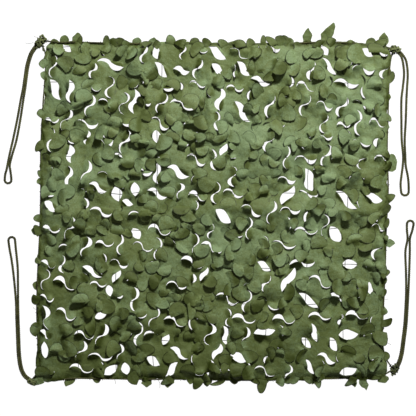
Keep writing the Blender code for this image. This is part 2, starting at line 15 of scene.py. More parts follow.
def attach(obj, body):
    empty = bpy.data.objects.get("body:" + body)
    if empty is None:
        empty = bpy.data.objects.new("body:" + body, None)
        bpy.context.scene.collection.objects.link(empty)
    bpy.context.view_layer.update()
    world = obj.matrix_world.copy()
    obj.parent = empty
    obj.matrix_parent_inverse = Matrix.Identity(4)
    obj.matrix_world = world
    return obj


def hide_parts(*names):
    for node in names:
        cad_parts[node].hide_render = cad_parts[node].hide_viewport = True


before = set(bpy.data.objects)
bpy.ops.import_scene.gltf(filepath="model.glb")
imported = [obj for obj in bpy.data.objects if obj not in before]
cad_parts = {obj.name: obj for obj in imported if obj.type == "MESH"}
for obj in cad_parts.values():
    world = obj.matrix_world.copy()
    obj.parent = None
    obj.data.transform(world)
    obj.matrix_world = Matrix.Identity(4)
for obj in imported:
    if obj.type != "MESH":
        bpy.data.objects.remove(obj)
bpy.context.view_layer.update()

bl_info = {
    "name": "Leaf-cut netting",
    "version": (1, 0, 0),
    "blender": (4, 5, 0),
    "location": "View3D > Sidebar > Netting",
    "description": "Builds leaf-cut netting with its ropes, knots and tie cords",
    "category": "Object",
}

MM = 0.001
BODY = "root"

# ---------------- sizes

NET_WIDTH = 1035 * MM
NET_HEIGHT = 1010 * MM
CORNER_START = 440 * MM  # the rope bends towards its knots past this
TOUCH = 0.3 * MM

CUT_ROWS = 19
CUT_COLUMNS = 19
CUT_LENGTH = 76 * MM
CUT_LENGTHS = (0.82, 1.04)  # of that length, the shortest and the longest
CUT_SWING = 14 * MM
CUT_SWINGS = (0.8, 1.15)
CUT_ROUNDNESS = 0.5  # how steeply the middle and the ends of a cut run, from 0 to 1
ROUND_BELOW = 8 * MM  # a cut that stands open wider than this is less round
CUT_WANDER = 3.5 * MM
CUT_TURN = math.radians(16)
CUT_SEED = 26
SKIPPED_DRAWS = 3  # after each cut: the layout was chosen with them
SAMPLE_STEPS = 7  # from a cut's middle to its end, where room for it is looked for
LOOKUP_STEPS = 81

GAP_COUNT = 216
LEAST_GAP = 4 * MM
WIDEST_CUT = 8.5 * MM
WIDTH_FALL = 1.1  # above 1, more of the cuts are narrow
OPEN_SHRINKS = (1.0, 0.85, 0.7)
OPEN_BRIDGE = 5.5 * MM  # least width of cloth between an open cut and the next, or the edge
CLOSED_SHRINKS = (1.0, 0.9, 0.8, 0.7, 0.6, 0.5)
CLOSED_BRIDGE = 3.6 * MM
CLOSED_WIDTHS = (-0.3, 0.05)  # of the overlap: below 0 its leaves lie past each other

STRING_CELLS = 9
STRING_WANDER = 6 * MM
STRING_INSET = 8 * MM
STRING_CORNER = 8 * MM
STRING_SEED = 9

CLOTH_REST = 13 * MM
CLOTH_LOWEST = 1.1 * MM
CLOTH_CEILING = 38 * MM
TUFT_REACH = 24 * MM
TUFT_HEIGHT = 2 * MM + TOUCH

HEM = 4 * MM
HEM_STEP = 48 * MM
HEM_WAVE = 3 * MM
HEM_SEED = 4

# ---------------- tables, in millimetres

# Where the rope runs on each side: x, y.
ROPE_ROUTES = {
    "top": ((-499.5, 497), (-486, 495), (-462, 493), (-417, 494), (-357, 492), (-252, 489),
            (-132, 490.5), (-12, 489), (108, 489), (228, 490.5), (333, 493.5), (408, 490.5),
            (474, 486), (508, 481), (526.3, 476.5)),
    "right": ((534.1, 458.4), (530, 444), (525, 396), (522, 291), (519, 171), (522, 51), (516, -69),
              (513, -189), (507, -309), (505, -400), (513, -448), (528.6, -475)),
    "bottom": ((-529, -522.7), (-510, -521), (-462, -517.5), (-417, -513), (-312, -514.5),
               (-192, -516), (-72, -516), (48, -519), (168, -519), (288, -516), (393, -513),
               (453, -515), (498, -508), (525.5, -493.8)),
    "left": ((-513.1, 480.6), (-506, 462), (-504, 431), (-507, 381), (-513, 291), (-519, 171),
             (-519, 51), (-522, -69), (-528, -189), (-531, -309), (-528, -414), (-529, -474),
             (-537.6, -513.9)),
}

# The corner knots: middle x and y, half length, half width, and the way the long axis points, in degrees.
KNOTS = {
    "top_left": (-519, 495, 20, 15, 225),
    "top_right": (541.2, 471, 15, 15, 330),
    "bottom_right": (540, -486, 15.5, 14.5, 48),
    "bottom_left": (-543.3, -523, 14, 11, 150),
}

# The doubled tie cords: x and y of the line between the strands, and half the distance between them.
TIE_ROUTES = {
    "top_left": ((-533.6, 480.4, 3.15), (-542, 469, 3.15), (-550, 454, 3.15), (-559, 423, 3.15),
                 (-564, 390, 3.15), (-569, 354, 3.3), (-575, 321, 3.8), (-585, 261, 4.6),
                 (-597, 201, 5.2), (-608, 159, 4.0), (-615, 128, 3.3), (-616, 112, 5.4),
                 (-617, 97, 8.6), (-617, 81, 10)),
    "top_right": ((555.7, 462.1, 3.15), (563.5, 453, 3.4), (571, 435, 5.2), (575, 399, 5.5),
                  (572, 357, 6.4), (569, 321, 7.5), (568, 261, 6.6), (567, 201, 4.5),
                  (570, 153, 3.15), (570, 123, 4.6), (571, 93, 9.5), (571, 69, 12),
                  (572, 46, 11.4)),
    "bottom_right": ((551.3, -472.7, 3.15), (557, -459, 3.15), (563, -434, 3.15), (568, -396, 3.15),
                     (573, -357, 3.15), (576, -315, 3.15), (579, -255, 3.3), (580, -195, 4.8),
                     (580, -135, 6.6), (583, -101, 3.6), (584, -88, 4.2), (586, -70, 8.0),
                     (588, -51, 10)),
    "bottom_left": ((-555.8, -515.4, 3.15), (-566, -507, 3.15), (-575, -492, 3.15), (-581, -470, 3.15),
                    (-585, -435, 3.15), (-587, -384, 3.15), (-589, -333, 3.15), (-590, -288, 3.15),
                    (-592, -240, 4.8), (-595, -189, 7.2), (-599, -153, 8.3), (-603, -126, 9.3),
                    (-606, -100, 10)),
}

# The widest gaps: x, y, length, width, angle in degrees, and the swing of the S.
WIDE_GAPS = (
    (-441, 476, 36, 20, -40, 0), (-309, 426, 81, 15, -12, 9), (-474, 351, 69, 24, -62, 6),
    (-429, 345, 69, 15, -85, 9), (-238, 315, 72, 18, -92, 10), (-174, 462, 42, 21, -75, 3),
    (-159, 410, 57, 21, -50, 4), (-96, 408, 54, 18, -10, 6), (6, 462, 69, 24, -35, 4),
    (12, 414, 48, 21, -45, 3), (87, 414, 57, 21, -50, 4), (138, 376, 72, 15, -15, 8),
    (18, 322, 72, 18, -90, 10), (84, 285, 78, 21, -52, 6), (330, 468, 36, 21, -60, 0),
    (344, 420, 66, 14, -52, 4), (459, 462, 39, 21, -35, 2), (396, 369, 75, 14, -3, 9),
    (-171, 210, 39, 26, -90, 0), (-171, 100, 66, 15, -84, 8), (-108, 105, 72, 21, -22, 8),
    (28, 171, 42, 18, 58, 2), (-171, 40, 63, 15, -18, 8), (27, -27, 60, 28, -42, 3),
    (284, 81, 72, 27, -72, 6), (220, 36, 72, 26, 55, 4), (394, 21, 81, 21, -40, 6),
    (477, 27, 54, 24, -20, 3), (-488, 2, 48, 20, -40, 3), (-429, 158, 54, 18, -88, 6),
    (-434, 90, 66, 15, -86, 8), (-346, 58, 60, 15, -20, 8), (-291, 39, 45, 33, -75, 0),
    (-258, 14, 36, 18, -20, 2), (-236, 52, 42, 27, -88, 0), (-232, -80, 39, 27, -60, 0),
    (362, -81, 54, 32, -58, 2), (406, -172, 42, 27, -8, 2), (222, -216, 84, 21, 62, 6),
    (282, -279, 72, 21, -38, 3), (150, -177, 48, 21, -35, 3), (-291, -206, 45, 18, 58, 2),
    (-312, -249, 33, 22, -80, 0), (-30, -201, 48, 15, 62, 3), (-364, -194, 66, 14, -28, 6),
    (-338, -324, 36, 21, 15, 0), (-506, -426, 51, 21, -88, 0), (-308, -488, 51, 24, 35, 2),
    (-264, -483, 36, 27, -80, 0), (-144, -396, 36, 21, 60, 0), (-105, -436, 63, 15, -32, 6),
    (-180, -460, 45, 24, -35, 2), (-126, -484, 60, 20, 50, -3), (34, -384, 60, 16, -78, 6),
    (10, -432, 63, 18, 62, 6), (74, -450, 54, 27, -20, 2), (150, -372, 66, 21, 8, 4),
    (298, -375, 57, 15, -75, 4), (276, -406, 39, 18, -50, 2), (336, -453, 60, 14, -18, 9),
    (356, -411, 45, 21, -65, 2), (402, -382, 60, 30, 3, 2), (400, -489, 51, 24, 15, 2),
    (285, -477, 51, 14, -60, 3), (464, -242, 36, 16, -85, 0),
)

# Leaf tips that stand out past the edge: place along the side, half width, reach past the rope,
# how far the tip leans along the side, and the half width of the tip.
LEAF_TIPS = {
    "top": ((-475, 12, 10, -4, 6), (-448, 14, 21, 0, 8), (-411, 16, 28, 5, 2), (-303, 16, 17, 2, 7),
            (-267, 11, 11, 0, 4), (-231, 14, 20, 0, 8), (-183, 13, 18, 3, 3), (-84, 15, 8, 0, 8),
            (60, 14, 9, -3, 7), (222, 15, 17, 0, 8), (279, 15, 44, 4, 2), (333, 18, 58, 26, 2),
            (411, 13, 12, 0, 6), (469, 15, 21, 3, 9), (508, 15, 44, 2, 3)),
    "right": ((408, 12, 10, -3, 4), (330, 13, 9, 0, 7), (240, 12, 8, 0, 6), (132, 27, 27, 0, 19),
              (21, 13, 11, 0, 6), (-108, 14, 26, 0, 3), (-219, 14, 10, 0, 7), (-309, 13, 14, -5, 3),
              (-402, 14, 18, 9, 2)),
    "bottom": ((502, 16, 26, 14, 10), (446, 13, 36, 10, 3), (412, 14, 26, 12, 3), (300, 13, 15, -6, 3),
               (216, 15, 13, 3, 8), (150, 14, 16, 0, 6), (60, 13, 13, 0, 4), (-18, 14, 20, -4, 7),
               (-70, 12, 16, -2, 5), (-132, 15, 24, -8, 6), (-201, 16, 25, -3, 3), (-351, 12, 14, 0, 7),
               (-430, 16, 21, -12, 5)),
    "left": ((-414, 10, 7, 0, 4), (-360, 15, 21, 0, 9), (-237, 13, 15, 4, 3), (-150, 12, 8, 0, 6),
             (-72, 13, 26, 3, 2), (78, 12, 13, 0, 7), (177, 12, 15, 0, 3), (291, 12, 8, 0, 6),
             (393, 12, 15, 6, 3)),
}

# A leaf tip's outline: the part whose width it takes, the hand, and the shares of its reach and of its lean.
TIP_SHAPE = (
    ("foot", -1, 0, 0), ("belly", -1, 0.5, 0.3), ("shoulder", -1, 0.85, 0.8), ("point", 0, 1, 1),
    ("shoulder", 1, 0.82, 0.8), ("belly", 1, 0.47, 0.3), ("foot", 1, 0, 0),
)
WIDE_FOOT = 1.25  # of its half width, where it stands out least
SLIM_FOOT = 0.85  # where it stands out as far as a long tip, or further
LONG_TIP = 30 * MM
LEAST_SHOULDER = 0.42  # of its half width
TIP_CLEARANCE = 9 * MM  # between the hem's waves and a tip

# Where the cloth's edge starts and ends on each side, clear of the knots.
CLOTH_SPANS = {"top": (-490, 524), "right": (436, -450), "bottom": (514, -512), "left": (-482, 456)}

# How far the slack cloth is pulled aside: across and up, wavelengths along x and y, and phase.
DRIFTS = (
    (5, 2, 900, 230, 0.1),
    (3, -3.5, 170, 140, 0.4),
    (-2, 5, 240, 610, 0.7),
    (2.5, 2.5, -130, 210, 0.2),
)

# Folds left from packing: start x and y, end x and y, height and half width of the ridge.
FOLDS = (
    (-520, -14, 20, -32, 7, 20),
    (-60, 0, 510, -14, 9, 22),
    (-12, 400, -9, 205, 7, 13),
    (-300, 260, -140, 150, 6, 22),
    (160, 140, 420, 250, 6, 26),
    (-420, -260, -200, -330, 7, 24),
    (120, -120, 330, -190, 6, 22),
)
FOLD_FADE = 6  # the greater, the shorter a ridge takes to rise at its ends

# Painted light and shade: where the cloth is made paler or darker all over, as more or less light falls
# there: middle x and y, half width, half height and tone.
LIGHT_AND_SHADE_PATCHES = (
    (230, 180, 240, 150, 0.5), (0, -480, 700, 140, -0.5), (-480, -230, 130, 190, -0.25),
    (330, 520, 230, 60, -0.3), (60, 14, 420, 26, -0.4), (-200, 470, 300, 40, -0.25),
)

# Slow waves of the loose cloth: height, wavelength, direction and phase, in degrees.
SWELLS = (
    (2.4, 380, 35, 70),
    (2.0, 290, 118, 200),
    (1.5, 205, 75, 20),
    (1.2, 150, 160, 310),
)

# The short cord end at each knot: start x and y, the way it points in degrees, length, and bend in degrees.
CORD_ENDS = {
    "top_left": (-512, 484, 265, 17, 20),
    "top_right": (536, 458, 215, 20, 70),
    "bottom_right": (548, -474, 78, 20, -15),
    "bottom_left": (-541, -513, 60, 21, -120),
}

# Stretches where the rope lies over the cloth: where it comes out and goes in again.
ROPE_OVER = {
    "top": ((-500, -416), (-396, -330), (-252, -222), (258, 300), (366, 402), (416, 440)),
    "bottom": ((-448, -300), (-278, -215), (-196, -160), (338, 386)),
    "left": ((300, 336), (-250, -215)),
    "right": ((380, 416), (-300, -262)),
}

# Stretches where the hem is bunched up on the rope.
BUNCHES = {
    "top": ((-495, -470), (-322, -232), (252, 332), (348, 432), (60, 96)),
    "bottom": ((-215, -178), (40, 90), (296, 330), (396, 440)),
    "left": ((196, 250), (20, 70), (-330, -262), (-470, -420)),
    "right": ((290, 330), (110, 160), (-30, 20), (-240, -190)),
}

# Loose threads round the edge: start x and y, end x and y, and how far the middle bends aside.
LOOSE_THREADS = (
    (-541, 493, -566, 492, 2), (-527, 509, -541, 514, 2), (-531, -279, -546, -282, 2),
    (-531, -306, -543, -300, 3), (512, -279, 524, -276, 1), (510, -408, 531, -414, 3),
    (-168, -517, -163, -544, 3), (519, 120, 530, 112, 2), (-300, -515, -296, -531, 2),
)

# ---------------- what a user can change


def length_setting(name, description, default):
    return bpy.props.FloatProperty(name=name, description=description, default=default, unit="LENGTH")


def power_setting(name, description, default):
    return bpy.props.FloatProperty(name=name, description=description, default=default, unit="POWER")


def colour_setting(name, description, default):
    return bpy.props.FloatVectorProperty(name=name, description=description, default=default, subtype="COLOR")


class NettingCloth(bpy.types.PropertyGroup):
    """Sizes of the leaf-cut cloth."""

    grain: length_setting("Grain", "Distance between the sheet's points", 6.2 * MM)
    thickness: length_setting("Thickness", "Thickness of the coated cloth", 0.7 * MM)
    overlap: length_setting("Overlap", "How far a closed leaf lies over its neighbour", 6 * MM)
    leaf_rise: length_setting("Leaf rise", "How far the highest leaves rise", 23 * MM)
    crumple: length_setting("Crumple", "Height of the small creases", 0.8 * MM)


class NettingCords(bpy.types.PropertyGroup):
    """Sizes of the ropes, cords, strings and threads."""

    rope: length_setting("Edge rope", "Diameter of the rope round the edge", 5 * MM)
    rope_lay: length_setting("Rope lay", "Length of one turn of the rope's strands", 17 * MM)
    tie: length_setting("Tie cord", "Diameter of the tie cords", 6 * MM)
    tie_lay: length_setting("Tie lay", "Length of one turn of the tie cord's strands", 19 * MM)
    string: length_setting("String", "Diameter of the strings under the cloth", 1.8 * MM)
    thread: length_setting("Thread", "Diameter of the binding and loose threads", 1.1 * MM)
    binding_step: length_setting("Binding step", "Distance between two stitches on the rope", 39 * MM)


class NettingFinish(bpy.types.PropertyGroup):
    """Colours, as linear red, green and blue."""

    leaf: colour_setting("Leaf", "Upper face of the cloth", (0.085, 0.109, 0.032))
    # The leaf tones, which mix in the worn and dark leaf colours, are partly the cloth's own uneven colour
    # and partly painted light and shade.
    leaf_light: colour_setting("Worn leaf", "Paler patches", (0.133, 0.184, 0.087))
    leaf_dark: colour_setting("Dark leaf", "Olive leaves", (0.030, 0.042, 0.005))
    underside: colour_setting("Underside", "Lower face of the cloth", (0.052, 0.062, 0.018))
    cord: colour_setting("Cord", "Ropes and ties", (0.054, 0.055, 0.018))
    # The knot colour is the cord colour made paler: painted light that offsets the shade the knot's own turns
    # cast on it.
    knot: colour_setting("Knot", "Knots, wound from newer cord", (0.072, 0.084, 0.032))
    string: colour_setting("String", "Strings and threads", (0.022, 0.023, 0.012))
    floor: colour_setting("Floor", "The pale floor", (0.90, 0.90, 0.90))


class NettingStage(bpy.types.PropertyGroup):
    """Camera and light."""

    camera_height: length_setting("Camera height", "Height over the net", 2.95)
    view_width: length_setting("View width", "Width that the camera sees", 1.248)
    key_power: power_setting("Key light", "Power of the light above the top edge", 240.0)
    fill_power: power_setting("Fill light", "Power of the wide light straight above", 26.0)
    sky: bpy.props.FloatProperty(
        name="Sky", description="Strength of the even light from all round", default=0.03)


def settings():
    """The scene's property groups."""
    return bpy.context.scene.netting


# ---------------- node graphs written as expressions


def math_node(operation, swapped=False):
    """A Python operator that adds a Math node."""
    def operate(self, other):
        pair = (other, self) if swapped else (self, other)
        return self.graph.maths(operation, *pair)
    return operate


class Wire:
    """An output socket. Python's operators on it add Math nodes, and wire[name] is a sister output."""

    def __init__(self, graph, socket):
        self.graph = graph
        self.socket = socket

    def __getitem__(self, name):
        return Wire(self.graph, self.socket.node.outputs[name])

    __add__ = __radd__ = math_node("ADD")
    __sub__ = math_node("SUBTRACT")
    __rsub__ = math_node("SUBTRACT", swapped=True)
    __mul__ = __rmul__ = math_node("MULTIPLY")
    __truediv__ = math_node("DIVIDE")
    __rtruediv__ = math_node("DIVIDE", swapped=True)


class Graph:
    """A shader or geometry node tree."""

    def __init__(self, tree):
        self.tree = tree

    def add(self, kind, settings=(), sockets=()):
        """Adds a node, sets it up, fills or joins its sockets, and returns its first output."""
        node = self.tree.nodes.new(kind)
        for name, value in dict(settings).items():
            setattr(node, name, value)
        for key, value in dict(sockets).items():
            if isinstance(value, Wire):
                self.tree.links.new(value.socket, node.inputs[key])
            elif value is not None:
                node.inputs[key].default_value = value
        return Wire(self, node.outputs[0]) if node.outputs else None

    def maths(self, operation, *values):
        return self.add("ShaderNodeMath", {"operation": operation}, enumerate(values))

    def sine(self, value):
        return self.maths("SINE", value)

    def limit(self, value):
        """The value, held between 0 and 1."""
        return self.add("ShaderNodeMath", {"operation": "ADD", "use_clamp": True}, {0: value, 1: 0.0})

    def vector(self, operation, first, second, key=1):
        """A Vector Math node. The second input is a scale where its key says so."""
        return self.add("ShaderNodeVectorMath", {"operation": operation}, {0: first, key: second})

    def scaled(self, vector, factor):
        return self.vector("SCALE", vector, factor, "Scale")

    def mixed(self, factor, first, second):
        """A colour between two colours."""
        sockets = {"Factor": factor, 6: first, 7: second}
        return self.add("ShaderNodeMix", {"data_type": "RGBA"}, sockets)[2]

    def attribute(self, name):
        return self.add("ShaderNodeAttribute", {"attribute_name": name})["Fac"]

    def noise(self, place, scale, detail):
        """Soft noise round 0.5."""
        return self.add("ShaderNodeTexNoise", (), {"Vector": place, "Scale": scale, "Detail": detail})

    def bump(self, height, distance, strength):
        sockets = {"Height": height, "Distance": distance, "Strength": strength}
        return self.add("ShaderNodeBump", (), sockets)

    def lines(self, mesh):
        """Curves along a mesh's edges."""
        return self.add("GeometryNodeMeshToCurve", (), {"Mesh": mesh})

    def even_lines(self, mesh, step):
        """Curves along a mesh's edges, with their points a step apart."""
        sockets = {"Curve": self.lines(mesh), "Length": step}
        return self.add("GeometryNodeResampleCurve", {"mode": "LENGTH"}, sockets)

    def circle(self, sides, radius):
        sockets = {"Resolution": sides, "Radius": radius}
        return self.add("GeometryNodeCurvePrimitiveCircle", {"mode": "RADIUS"}, sockets)

    def tube(self, line, profile, capped=True):
        sockets = {"Curve": line, "Profile Curve": profile, "Fill Caps": capped}
        return self.add("GeometryNodeCurveToMesh", (), sockets)

    def stored(self, geometry, name, value):
        """The geometry with a value kept at its points under a name."""
        sockets = {"Geometry": geometry, "Name": name, "Value": value}
        return self.add("GeometryNodeStoreNamedAttribute", {"data_type": "FLOAT", "domain": "POINT"}, sockets)

    def moved(self, geometry, offset):
        return self.add("GeometryNodeSetPosition", (), {"Geometry": geometry, "Offset": offset})


# ---------------- finishes

# Noise on the cloth and the cords: scale and detail.
PATCHES = (5.0, 4.0)
MOTTLE = (70.0, 3.0)
SPECKS = (260.0, 1.0)
# Noise for the painted shade along small wrinkles, and for the parts of the cloth where it falls.
WRINKLE_SHADE_LINES = (16.0, 2.5)
WRINKLE_SHADE_PATCHES = (31.0, 1.0)
CREASES = (55.0, 5.0)
FIBRE_SPECKS = (420.0, 2.0)
FIBRE_WEAR = (26.0, 3.0)
FLOOR_CLOUD = (2.0, 2.0)

THREAD_PITCH = 1.3 * MM  # from one thread of the weave to the next
FIBRE_PITCH = 1.1 * MM
# How far the painted shadow reaches past the edge of a leaf that lies over the cloth.
PAINTED_SHADOW_REACH = 2.4 * MM  # from under a leaf's edge
WEAR_REACH = 1.3 * MM  # from a leaf's own edge
FLOOR_LIGHT_BACK = 0.08  # of the light that falls on the floor from above, the share it sends back


def rgba(colour):
    return (*colour, 1.0)


def tinted(colour, share):
    return [share * part for part in colour]


def new_finish(name, roughness, shine):
    """A material with a Principled shader, and its graph."""
    material = bpy.data.materials.new(name)
    material.use_nodes = True
    shader = material.node_tree.nodes["Principled BSDF"]
    shader.inputs["Roughness"].default_value = roughness
    shader.inputs["Specular IOR Level"].default_value = shine
    return material, Graph(material.node_tree), shader


def joined(graph, shader, name, wire):
    graph.tree.links.new(wire.socket, shader.inputs[name])


def cloth_finish(name, base, pale, roughness):
    """Coated woven cloth: patches, leaf tones that are partly painted light and shade, painted shade along
    wrinkles, painted shadow at the edges of leaves that lie over it, paler worn cut edges, and a fine weave
    in its bump.
    """
    material, graph, shader = new_finish(name, roughness, shine=0.15)
    flat = graph.add("ShaderNodeUVMap", {"uv_map": "flat"})
    tone = graph.attribute("leaf_tone")
    patches = graph.noise(flat, *PATCHES)
    mottle = graph.noise(flat, *MOTTLE)
    specks = graph.noise(flat, *SPECKS)
    uneven = (patches - 0.5) * 3.0 + (mottle - 0.5) * 1.4 + (specks - 0.5) * 1.6
    # The leaf tone, partly the cloth's own colour and partly painted light and shade of leaves tilted to or
    # from the light, mixes in the worn and dark leaf colours.
    colour = graph.mixed(graph.limit(uneven + tone * 0.8 + 0.4), rgba(base), rgba(pale))
    colour = graph.mixed(graph.limit(tone * -0.85), colour, rgba(settings().finish.leaf_dark))
    # Painted shade: thin dark lines along small wrinkles, in some parts of the cloth.
    wrinkle_shade = graph.maths("ABSOLUTE", graph.noise(flat, *WRINKLE_SHADE_LINES) - 0.5)
    wrinkle_shade_where = graph.limit((graph.noise(flat, *WRINKLE_SHADE_PATCHES) - 0.5) * 9.0)
    wrinkle_shade = graph.limit(1.0 - wrinkle_shade * 90.0) * wrinkle_shade_where
    colour = graph.mixed(wrinkle_shade * 0.6, colour, rgba(tinted(base, 0.3)))
    # Painted shadow: the cloth is darkened just past the edge of a leaf that lies over it, and along a folded
    # leaf's rim.
    painted_shadow = graph.limit(1.3 - graph.attribute("shadow_gap") * (1 / PAINTED_SHADOW_REACH))
    colour = graph.mixed(painted_shadow * 0.95, colour, rgba([0.09 * base[0], 0.09 * base[1], 0.02 * base[2]]))
    worn_rim = graph.limit(1.0 - graph.attribute("rim_gap") * (1 / WEAR_REACH))
    colour = graph.mixed(worn_rim * 0.35, colour, rgba(tinted(pale, 1.2)))
    joined(graph, shader, "Base Color", colour)
    joined(graph, shader, "Roughness", graph.limit((mottle - 0.5) * 0.3 + roughness))
    parts = graph.add("ShaderNodeSeparateXYZ", (), {0: flat})
    thread = 2 * math.pi / THREAD_PITCH
    weave = graph.sine(parts["X"] * thread) * graph.sine(parts["Y"] * thread)
    height = weave * 0.12 + graph.noise(flat, *CREASES) * 7.0
    joined(graph, shader, "Normal", graph.bump(height, 1 * MM, 0.55))
    return material


def cord_finish(name, colour, roughness, contrast):
    """Twisted fibre: tones that change from strand to strand and along it, and a fibre bump."""
    material, graph, shader = new_finish(name, roughness, shine=0.2)
    place = graph.add("ShaderNodeTexCoord")["Object"]
    specks = graph.noise(place, *FIBRE_SPECKS)
    worn = graph.noise(place, *FIBRE_WEAR)
    light = graph.limit((specks - 0.5) * 1.5 + (worn - 0.5) * 1.4 + graph.attribute("strand") * 0.35 + 0.25)
    dark_colour = rgba(tinted(colour, 0.42 ** contrast))
    light_colour = rgba(tinted(colour, 1.55 ** contrast))
    joined(graph, shader, "Base Color", graph.mixed(light, dark_colour, light_colour))
    fibres = graph.sine(graph.attribute("along") * (2 * math.pi / FIBRE_PITCH)) * 0.5 + specks
    joined(graph, shader, "Normal", graph.bump(fibres, 0.4 * MM, 0.6))
    return material


def floor_finish(name, colour):
    """A plain pale floor, lit through from below so that hardly a shadow shows on it."""
    material, graph, shader = new_finish(name, 0.7, shine=0.0)
    shader.inputs["Emission Color"].default_value = (1, 1, 1, 1)
    shader.inputs["Emission Strength"].default_value = 1.0
    place = graph.add("ShaderNodeTexCoord")["Object"]
    top = tinted(colour, FLOOR_LIGHT_BACK)
    cloud = graph.noise(place, *FLOOR_CLOUD)
    joined(graph, shader, "Base Color", graph.mixed(cloud, rgba(top), rgba(tinted(top, 0.9))))
    return material


def finish(name):
    """The named finish, made when it is first asked for."""
    if name in bpy.data.materials:
        return bpy.data.materials[name]
    colours = settings().finish
    recipes = {
        "leaf face": (cloth_finish, colours.leaf, colours.leaf_light, 0.6),
        "leaf underside": (cloth_finish, colours.underside, tinted(colours.underside, 1.3), 0.7),
        "cord fibre": (cord_finish, colours.cord, 0.75, 1.15),
        "knot fibre": (cord_finish, colours.knot, 0.75, 1.8),
        "dark thread": (cord_finish, colours.string, 0.8, 1.0),
        "pale floor": (floor_finish, colours.floor),
    }
    make, *values = recipes[name]
    return make(name, *values)


# ---------------- plane geometry

STRETCH_SLOPE = 12 * MM  # along the edge, for a stretch of a table to begin or end
# How far out from the middle of the net a place has to be, to lie beside a side's stretches.
EDGE_ZONES = {"top": 440 * MM, "right": 460 * MM, "bottom": 440 * MM, "left": 460 * MM}

OUTWARD = {"top": Vector((0, 1)), "right": Vector((1, 0)), "bottom": Vector((0, -1)), "left": Vector((-1, 0))}


def metres(row):
    return tuple(value * MM for value in row)


def by_side(side, x, y):
    """Two coordinates, the one along a side first."""
    return (x, y) if OUTWARD[side].y else (y, x)


def rope_line(side):
    """A side's rope: the places of its points along the side, in order, and their other coordinates."""
    along, off = by_side(side, *(np.array(ROPE_ROUTES[side]) * MM).T)
    order = np.argsort(along)
    return along[order], off[order]


ROPE_LINES = {side: rope_line(side) for side in OUTWARD}


def direction(angle):
    return np.array((math.cos(angle), math.sin(angle)))


def drawn_pair(rng):
    """A random place in the square from -1 to 1."""
    return Vector((rng.uniform(-1, 1), rng.uniform(-1, 1)))


def ramp(share):
    """A smooth step from 0 at 0 to 1 at 1."""
    share = np.clip(share, 0, 1)
    return share * share * (3 - 2 * share)


def bell(distance, width):
    """1 at no distance, and less to both sides."""
    return np.exp(-((distance / width) ** 2))


def line_value(at, places, values):
    """Linear value at a place, carried on past the ends."""
    index = int(np.clip(np.searchsorted(places, at), 1, len(places) - 1))
    share = (at - places[index - 1]) / (places[index] - places[index - 1])
    return float(values[index - 1] + share * (values[index] - values[index - 1]))


def rope_point(side, along):
    """The point of a side's rope at a place along that side."""
    return Vector(by_side(side, along, line_value(along, *ROPE_LINES[side])))


def net_point(across, up, inset=0.0):
    """The point at the given shares of the net's width and height, inside its uneven edge."""
    x_along = max(-CORNER_START, min(CORNER_START, (across - 0.5) * NET_WIDTH))
    y_along = max(-CORNER_START, min(CORNER_START, (up - 0.5) * NET_HEIGHT))
    left = rope_point("left", y_along).x + inset
    right = rope_point("right", y_along).x - inset
    low = rope_point("bottom", x_along).y + inset
    high = rope_point("top", x_along).y - inset
    return Vector((left + across * (right - left), low + up * (high - low)))


def inward_distances(x, y):
    """How far points lie inside the rope, on the side where each lies nearest."""
    distances = []
    for side, outward in OUTWARD.items():
        along, off = by_side(side, x, y)
        distances.append((np.interp(along, *ROPE_LINES[side]) - off) * sum(outward))
    return np.min(distances, axis=0)


def stretch_share(table, side, along):
    """How far places along a side lie in one of a table's stretches, from 0 to 1."""
    shares = np.zeros(np.shape(along))
    for start, end in table[side]:
        out = np.minimum(along - start * MM, end * MM - along)
        shares = np.maximum(shares, ramp(0.5 + out / STRETCH_SLOPE))
    return shares


def near_stretch(table, x, y):
    """How far points near the edge lie beside one of a table's stretches, from 0 to 1."""
    shares = []
    for side, outward in OUTWARD.items():
        along, off = by_side(side, x, y)
        shares.append(stretch_share(table, side, along) * (off * sum(outward) > EDGE_ZONES[side]))
    return np.max(shares, axis=0)


def smooth_run(points, spacing, closed=False):
    """Points a spacing apart on a smooth curve through the given ones."""
    if closed:
        ends = [points[-1], *points, points[0], points[1]]
    else:
        ends = [points[0] * 2 - points[1], *points, points[-1] * 2 - points[-2]]
    run = []
    for a, b, c, d in zip(ends, ends[1:], ends[2:], ends[3:]):
        count = max(1, round((c - b).length / spacing))
        for step in range(count):
            t = step / count
            run.append(0.5 * (2 * b + (c - a) * t + (2 * a - 5 * b + 4 * c - d) * t * t
                              + (3 * b - a - 3 * c + d) * t ** 3))
    return run if closed else [*run, points[-1]]


# ---------------- the cloth's edge


def tip_stops(tip, way):
    """A leaf tip's outline, as places along the side and reaches past the rope."""
    place, half, reach, lean, blunt = tip
    widths = {
        "foot": half * (WIDE_FOOT - (WIDE_FOOT - SLIM_FOOT) * min(1.0, reach / LONG_TIP)),
        "belly": half,
        "shoulder": max(blunt, LEAST_SHOULDER * half),
        "point": 0.0,
    }
    return [(place + lean_share * lean + way * hand * widths[part], max(HEM, reach_share * reach))
            for part, hand, reach_share, lean_share in TIP_SHAPE]


def cloth_outline():
    """The cloth's edge, clockwise from the top left: a wavy hem along the rope, with leaf tips."""
    rng = random.Random(HEM_SEED)
    points = []
    for side, outward in OUTWARD.items():
        start, end = metres(CLOTH_SPANS[side])
        way = 1 if end > start else -1
        tips = [metres(row) for row in LEAF_TIPS[side]]
        groups = [(tip[0], tip_stops(tip, way)) for tip in tips]
        count = round(abs(end - start) / HEM_STEP)
        for step in range(count + 1):
            place = start + (end - start) * step / count
            wave = rng.uniform(-HEM_WAVE, HEM_WAVE)
            if all(abs(place - tip[0]) > tip[1] + TIP_CLEARANCE for tip in tips):
                groups.append((place, [(place, HEM + wave)]))
        groups.sort(key=lambda group: way * group[0])
        for _, stops in groups:
            points.extend(rope_point(side, place) + outward * reach for place, reach in stops)
    return points


# ---------------- the cuts


